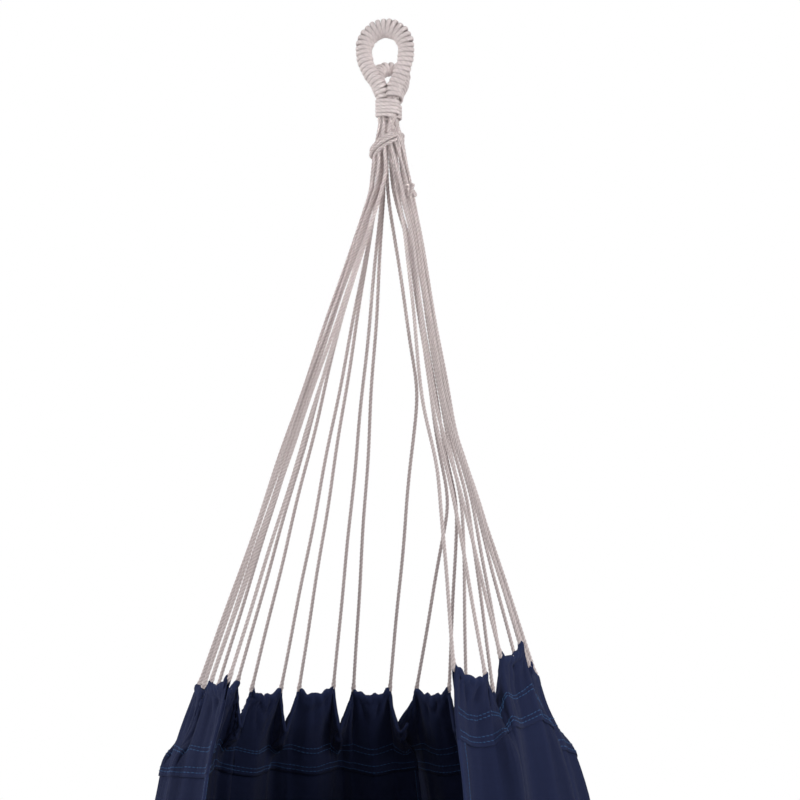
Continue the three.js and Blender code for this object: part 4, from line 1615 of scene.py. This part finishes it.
    def build_hem(self, side: Side, finishes: Finishes) -> list[bpy.types.Object]:
        """Makes one hem's casing and its rows of stitches, on both faces.

        Args:
            side: the end of the cloth.
            finishes: the chair's materials.

        Returns:
            The casing and its sewing.
        """
        name = side.name.lower()
        grid, uv, wear = self.casing_grid(side)
        surface = Surface()
        surface.add_grid(grid, uv, flip=side is Side.LEFT, wear=wear)
        casing = surface.to_object(f"{name}_hem_fold", finishes.casing, "navy_casing")
        self.add_thickness(casing, self.casing_thickness)
        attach(casing, Body.SEAT.value)
        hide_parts(f"{name}_hem_casing")
        stitches = Surface()
        margin, stand = 0.003, self.fold_radius + self.casing_thickness / 2
        count = int((self.form.width - 2 * margin) / self.stitch_pitch)
        along = margin + (np.arange(count) + 0.5) * self.stitch_pitch
        for row, depth in enumerate(self.stitch_rows):
            uneven = depth + 0.0006 * np.sin(along * 60 + row) + 0.0012 * np.sin(along * 13 + 3 * row)
            uneven = uneven - self.lifted(side, along)
            fall = uneven if side is Side.LEFT else self.form.length - uneven
            for face in (1, -1):
                self.add_stitches(stitches, along, fall, False, face * stand)
        sewing = stitches.to_object(f"{name}_hem_stitches", finishes.thread, "navy_casing")
        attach(sewing, Body.SEAT.value)
        return [casing, sewing]

    def build_side_hems(self, finishes: Finishes) -> list[bpy.types.Object]:
        """Makes the narrow hems of the cloth's two free edges, each wrapped round its edge and sewn once.

        Args:
            finishes: the chair's materials.

        Returns:
            The hems and their sewing.
        """
        surface, stitches = Surface(), Surface()
        stand, from_hem = self.side_hem_stand, self.form.casing_depth - self.side_hem_tucked
        inward = np.array([self.side_hem, 0.008, 0.004, 0.0015])
        run = np.concatenate([-inward, np.linspace(-0.001, 0.001, 5), inward[::-1]])
        bends = np.linspace(0, math.pi, 7)[1:-1]
        for edge, sign in ((0.0, 1), (self.form.width, -1)):
            start, end = (from_hem - float(self.lifted(side, np.array(edge))) for side in Side)
            fall = np.linspace(start, self.form.length - end, 420)
            a, f = np.meshgrid(edge + sign * inward, fall)
            points, normal = self.form.point(a, f), self.form.normals(self.form.point, a, f)
            rim, rim_normal = points[:, -1], normal[:, -1]
            out = unit(self.form.point(np.full_like(fall, edge), fall) - rim)
            spokes = [math.cos(bend) * rim_normal + 1.6 * math.sin(bend) * out for bend in bends]
            around = [rim + stand * spoke for spoke in spokes]
            outer, inner = ((points + face * stand * normal).swapaxes(0, 1) for face in (1, -1))
            grid = np.stack([*outer, *around, *inner[::-1]], axis=1)
            uv = np.stack(np.meshgrid(edge + run, fall), axis=-1)
            wear = np.broadcast_to(bell(run, 0.003), grid.shape[:2])
            surface.add_grid(grid, uv, flip=sign > 0, wear=wear)
            places = np.arange(fall[0], fall[-1], self.stitch_pitch)
            line = np.full_like(places, edge + sign * self.side_hem_seam)
            for face in (1, -1):
                self.add_stitches(stitches, line, places, True, face * (stand + 0.0004))
        hems = surface.to_object("side_hem_folds", finishes.cloth, "navy_cloth")
        self.add_thickness(hems, self.side_hem_thickness)
        sewing = stitches.to_object("side_hem_stitches", finishes.thread, "navy_cloth")
        for piece in (hems, sewing):
            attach(piece, Body.SEAT.value)
        return [hems, sewing]

    def build(self, finishes: Finishes) -> None:
        """The cloth starts inside its casings, with rows close together there and further apart below them.

        Args:
            finishes: the chair's materials.
        """
        inset, first, near = 0.0006, 0.022, 0.110
        along = np.linspace(inset, self.form.width - inset, 330)
        near_hem = np.linspace(first, near, 21)
        walls = np.linspace(near, self.form.length - near, 110)
        fall = np.concatenate([near_hem[:-1], walls, self.form.length - near_hem[-2::-1]])
        a, f = np.meshgrid(along, fall)
        surface = Surface()
        surface.add_grid(self.form.point(a, f), np.stack([a, f], axis=-1), flip=True)
        cloth = surface.to_object("hanging_cloth", finishes.cloth, "navy_cloth")
        self.add_thickness(cloth, self.cloth_thickness)
        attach(cloth, Body.SEAT.value)
        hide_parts("seat_cloth")
        sewn = [piece for side in Side for piece in self.build_hem(side, finishes)]
        sewn = sewn + self.build_side_hems(finishes)


@dataclass(frozen=True)
class Lamp:
    """A square lamp that faces a place on the chair's upright middle line.

    Azimuth, from the front and positive towards +X, and elevation are in degrees, distance and size in
    metres, and power in watts. Aim is the place's height, and spread the degrees over which light leaves.
    """

    name: str
    azimuth: float
    elevation: float
    distance: float
    size: float
    power: float
    aim: float = -0.8
    spread: float = 180.0

    def build(self) -> None:
        """Makes the lamp."""
        a, e = math.radians(self.azimuth), math.radians(self.elevation)
        back = np.array([math.sin(a) * math.cos(e), -math.cos(a) * math.cos(e), math.sin(e)])
        data = bpy.data.lights.new(self.name, "AREA")
        data.energy, data.size, data.spread = self.power, self.size, math.radians(self.spread)
        made = bpy.data.objects.new(self.name, data)
        made.location = np.array([0, 0, self.aim]) + back * self.distance
        made.rotation_mode = "QUATERNION"
        made.rotation_quaternion = Vector(-back).to_track_quat("-Z", "Y")
        bpy.context.scene.collection.objects.link(made)


@dataclass
class Studio:
    """A pale floor, soft lamps and the camera."""

    floor_drop: float = 1.95
    floor_half_side: float = 4.0
    distance: float = 3.0
    azimuth: float = math.radians(12)
    height: float = -0.8525
    sideways: float = 0.0179
    tilt: float = math.radians(7.13)
    lens: float = 106.0
    lamps: tuple[Lamp, ...] = (
        Lamp("left softbox", -72, 14, 3.2, 1.6, 58),
        Lamp("right softbox", 68, 18, 3.2, 1.6, 56),
        Lamp("front fill", 8, 30, 4.0, 1.6, 5),
        Lamp("neck light", 2, -4, 1.6, 0.4, 0.11, -0.19, 10),
        Lamp("top softbox", 10, 78, 2.6, 1.8, 10),
        Lamp("back softbox", 180, 30, 3.6, 1.8, 24),
    )

    def build_world(self) -> None:
        """Makes a dim even light from all round, which the camera sees as white."""
        light, seen = (0.22, 0.22, 0.23, 1), (1, 1, 1, 1)
        world = bpy.data.worlds.new("studio")
        bpy.context.scene.world = world
        world.use_nodes = True
        nodes = NodeTree(world.node_tree)
        to_camera = nodes.node("ShaderNodeLightPath").outputs["Is Camera Ray"]
        backdrop = world.node_tree.nodes["Background"]
        nodes.join(nodes.mix(to_camera, light, seen), backdrop.inputs["Color"])

    def build_floor(self) -> None:
        """Makes the floor, a flat square."""
        side = np.linspace(-self.floor_half_side, self.floor_half_side, 9)
        x, y = np.meshgrid(side, side)
        floor = Surface()
        points = np.stack([x, y, np.full_like(x, -self.floor_drop)], axis=-1)
        floor.add_grid(points, np.stack([x, y], axis=-1))
        material, nodes, shader = blank_material("pale floor")
        nodes.join((0.86, 0.86, 0.86, 1), shader.inputs["Base Color"])
        nodes.join(0.8, shader.inputs["Roughness"])
        ground = floor.to_object("floor", material)

    def build_camera(self) -> None:
        """Makes the camera, at the photograph's viewing angle."""
        camera = bpy.data.cameras.new("camera")
        camera.lens, camera.sensor_width = self.lens, 36
        camera.clip_end = 50
        made = bpy.data.objects.new("camera", camera)
        cos, sin = math.cos(self.azimuth), math.sin(self.azimuth)
        x = self.sideways * cos + self.distance * sin
        y = self.sideways * sin - self.distance * cos
        made.location = (x, y, self.height)
        made.rotation_euler = (math.pi / 2 + self.tilt, 0, self.azimuth)
        bpy.context.scene.collection.objects.link(made)
        bpy.context.scene.camera = made

    def build(self) -> None:
        """Sets the view and the world, and makes the floor, the lamps and the camera."""
        bpy.context.scene.view_settings.view_transform = "Standard"
        self.build_world()
        self.build_floor()
        for lamp in self.lamps:
            lamp.build()
        self.build_camera()


def main() -> None:
    """Builds the studio and the chair."""
    logging.basicConfig(level=logging.INFO, format="%(name)s %(message)s")
    Studio().build()
    finishes = Finishes()
    front = Eye("front", 0.0283, 0.0028, 38, (-0.0018, 0.0), shift=0.0033)
    rear = Eye("rear", 0.0170, 0.0, 26, (-0.001, 0.026), lean=math.radians(47), turn=math.radians(12))
    hitch = Hitch()
    cloth = ClothForm()
    fan = CordFan(cloth, hitch)
    for eye in (front, rear):
        eye.build(finishes)
    hitch.build((front, rear), fan.held(), finishes)
    fan.build(finishes)
    SeatCloth(cloth).build(finishes)


if __name__ == "__main__":
    main()
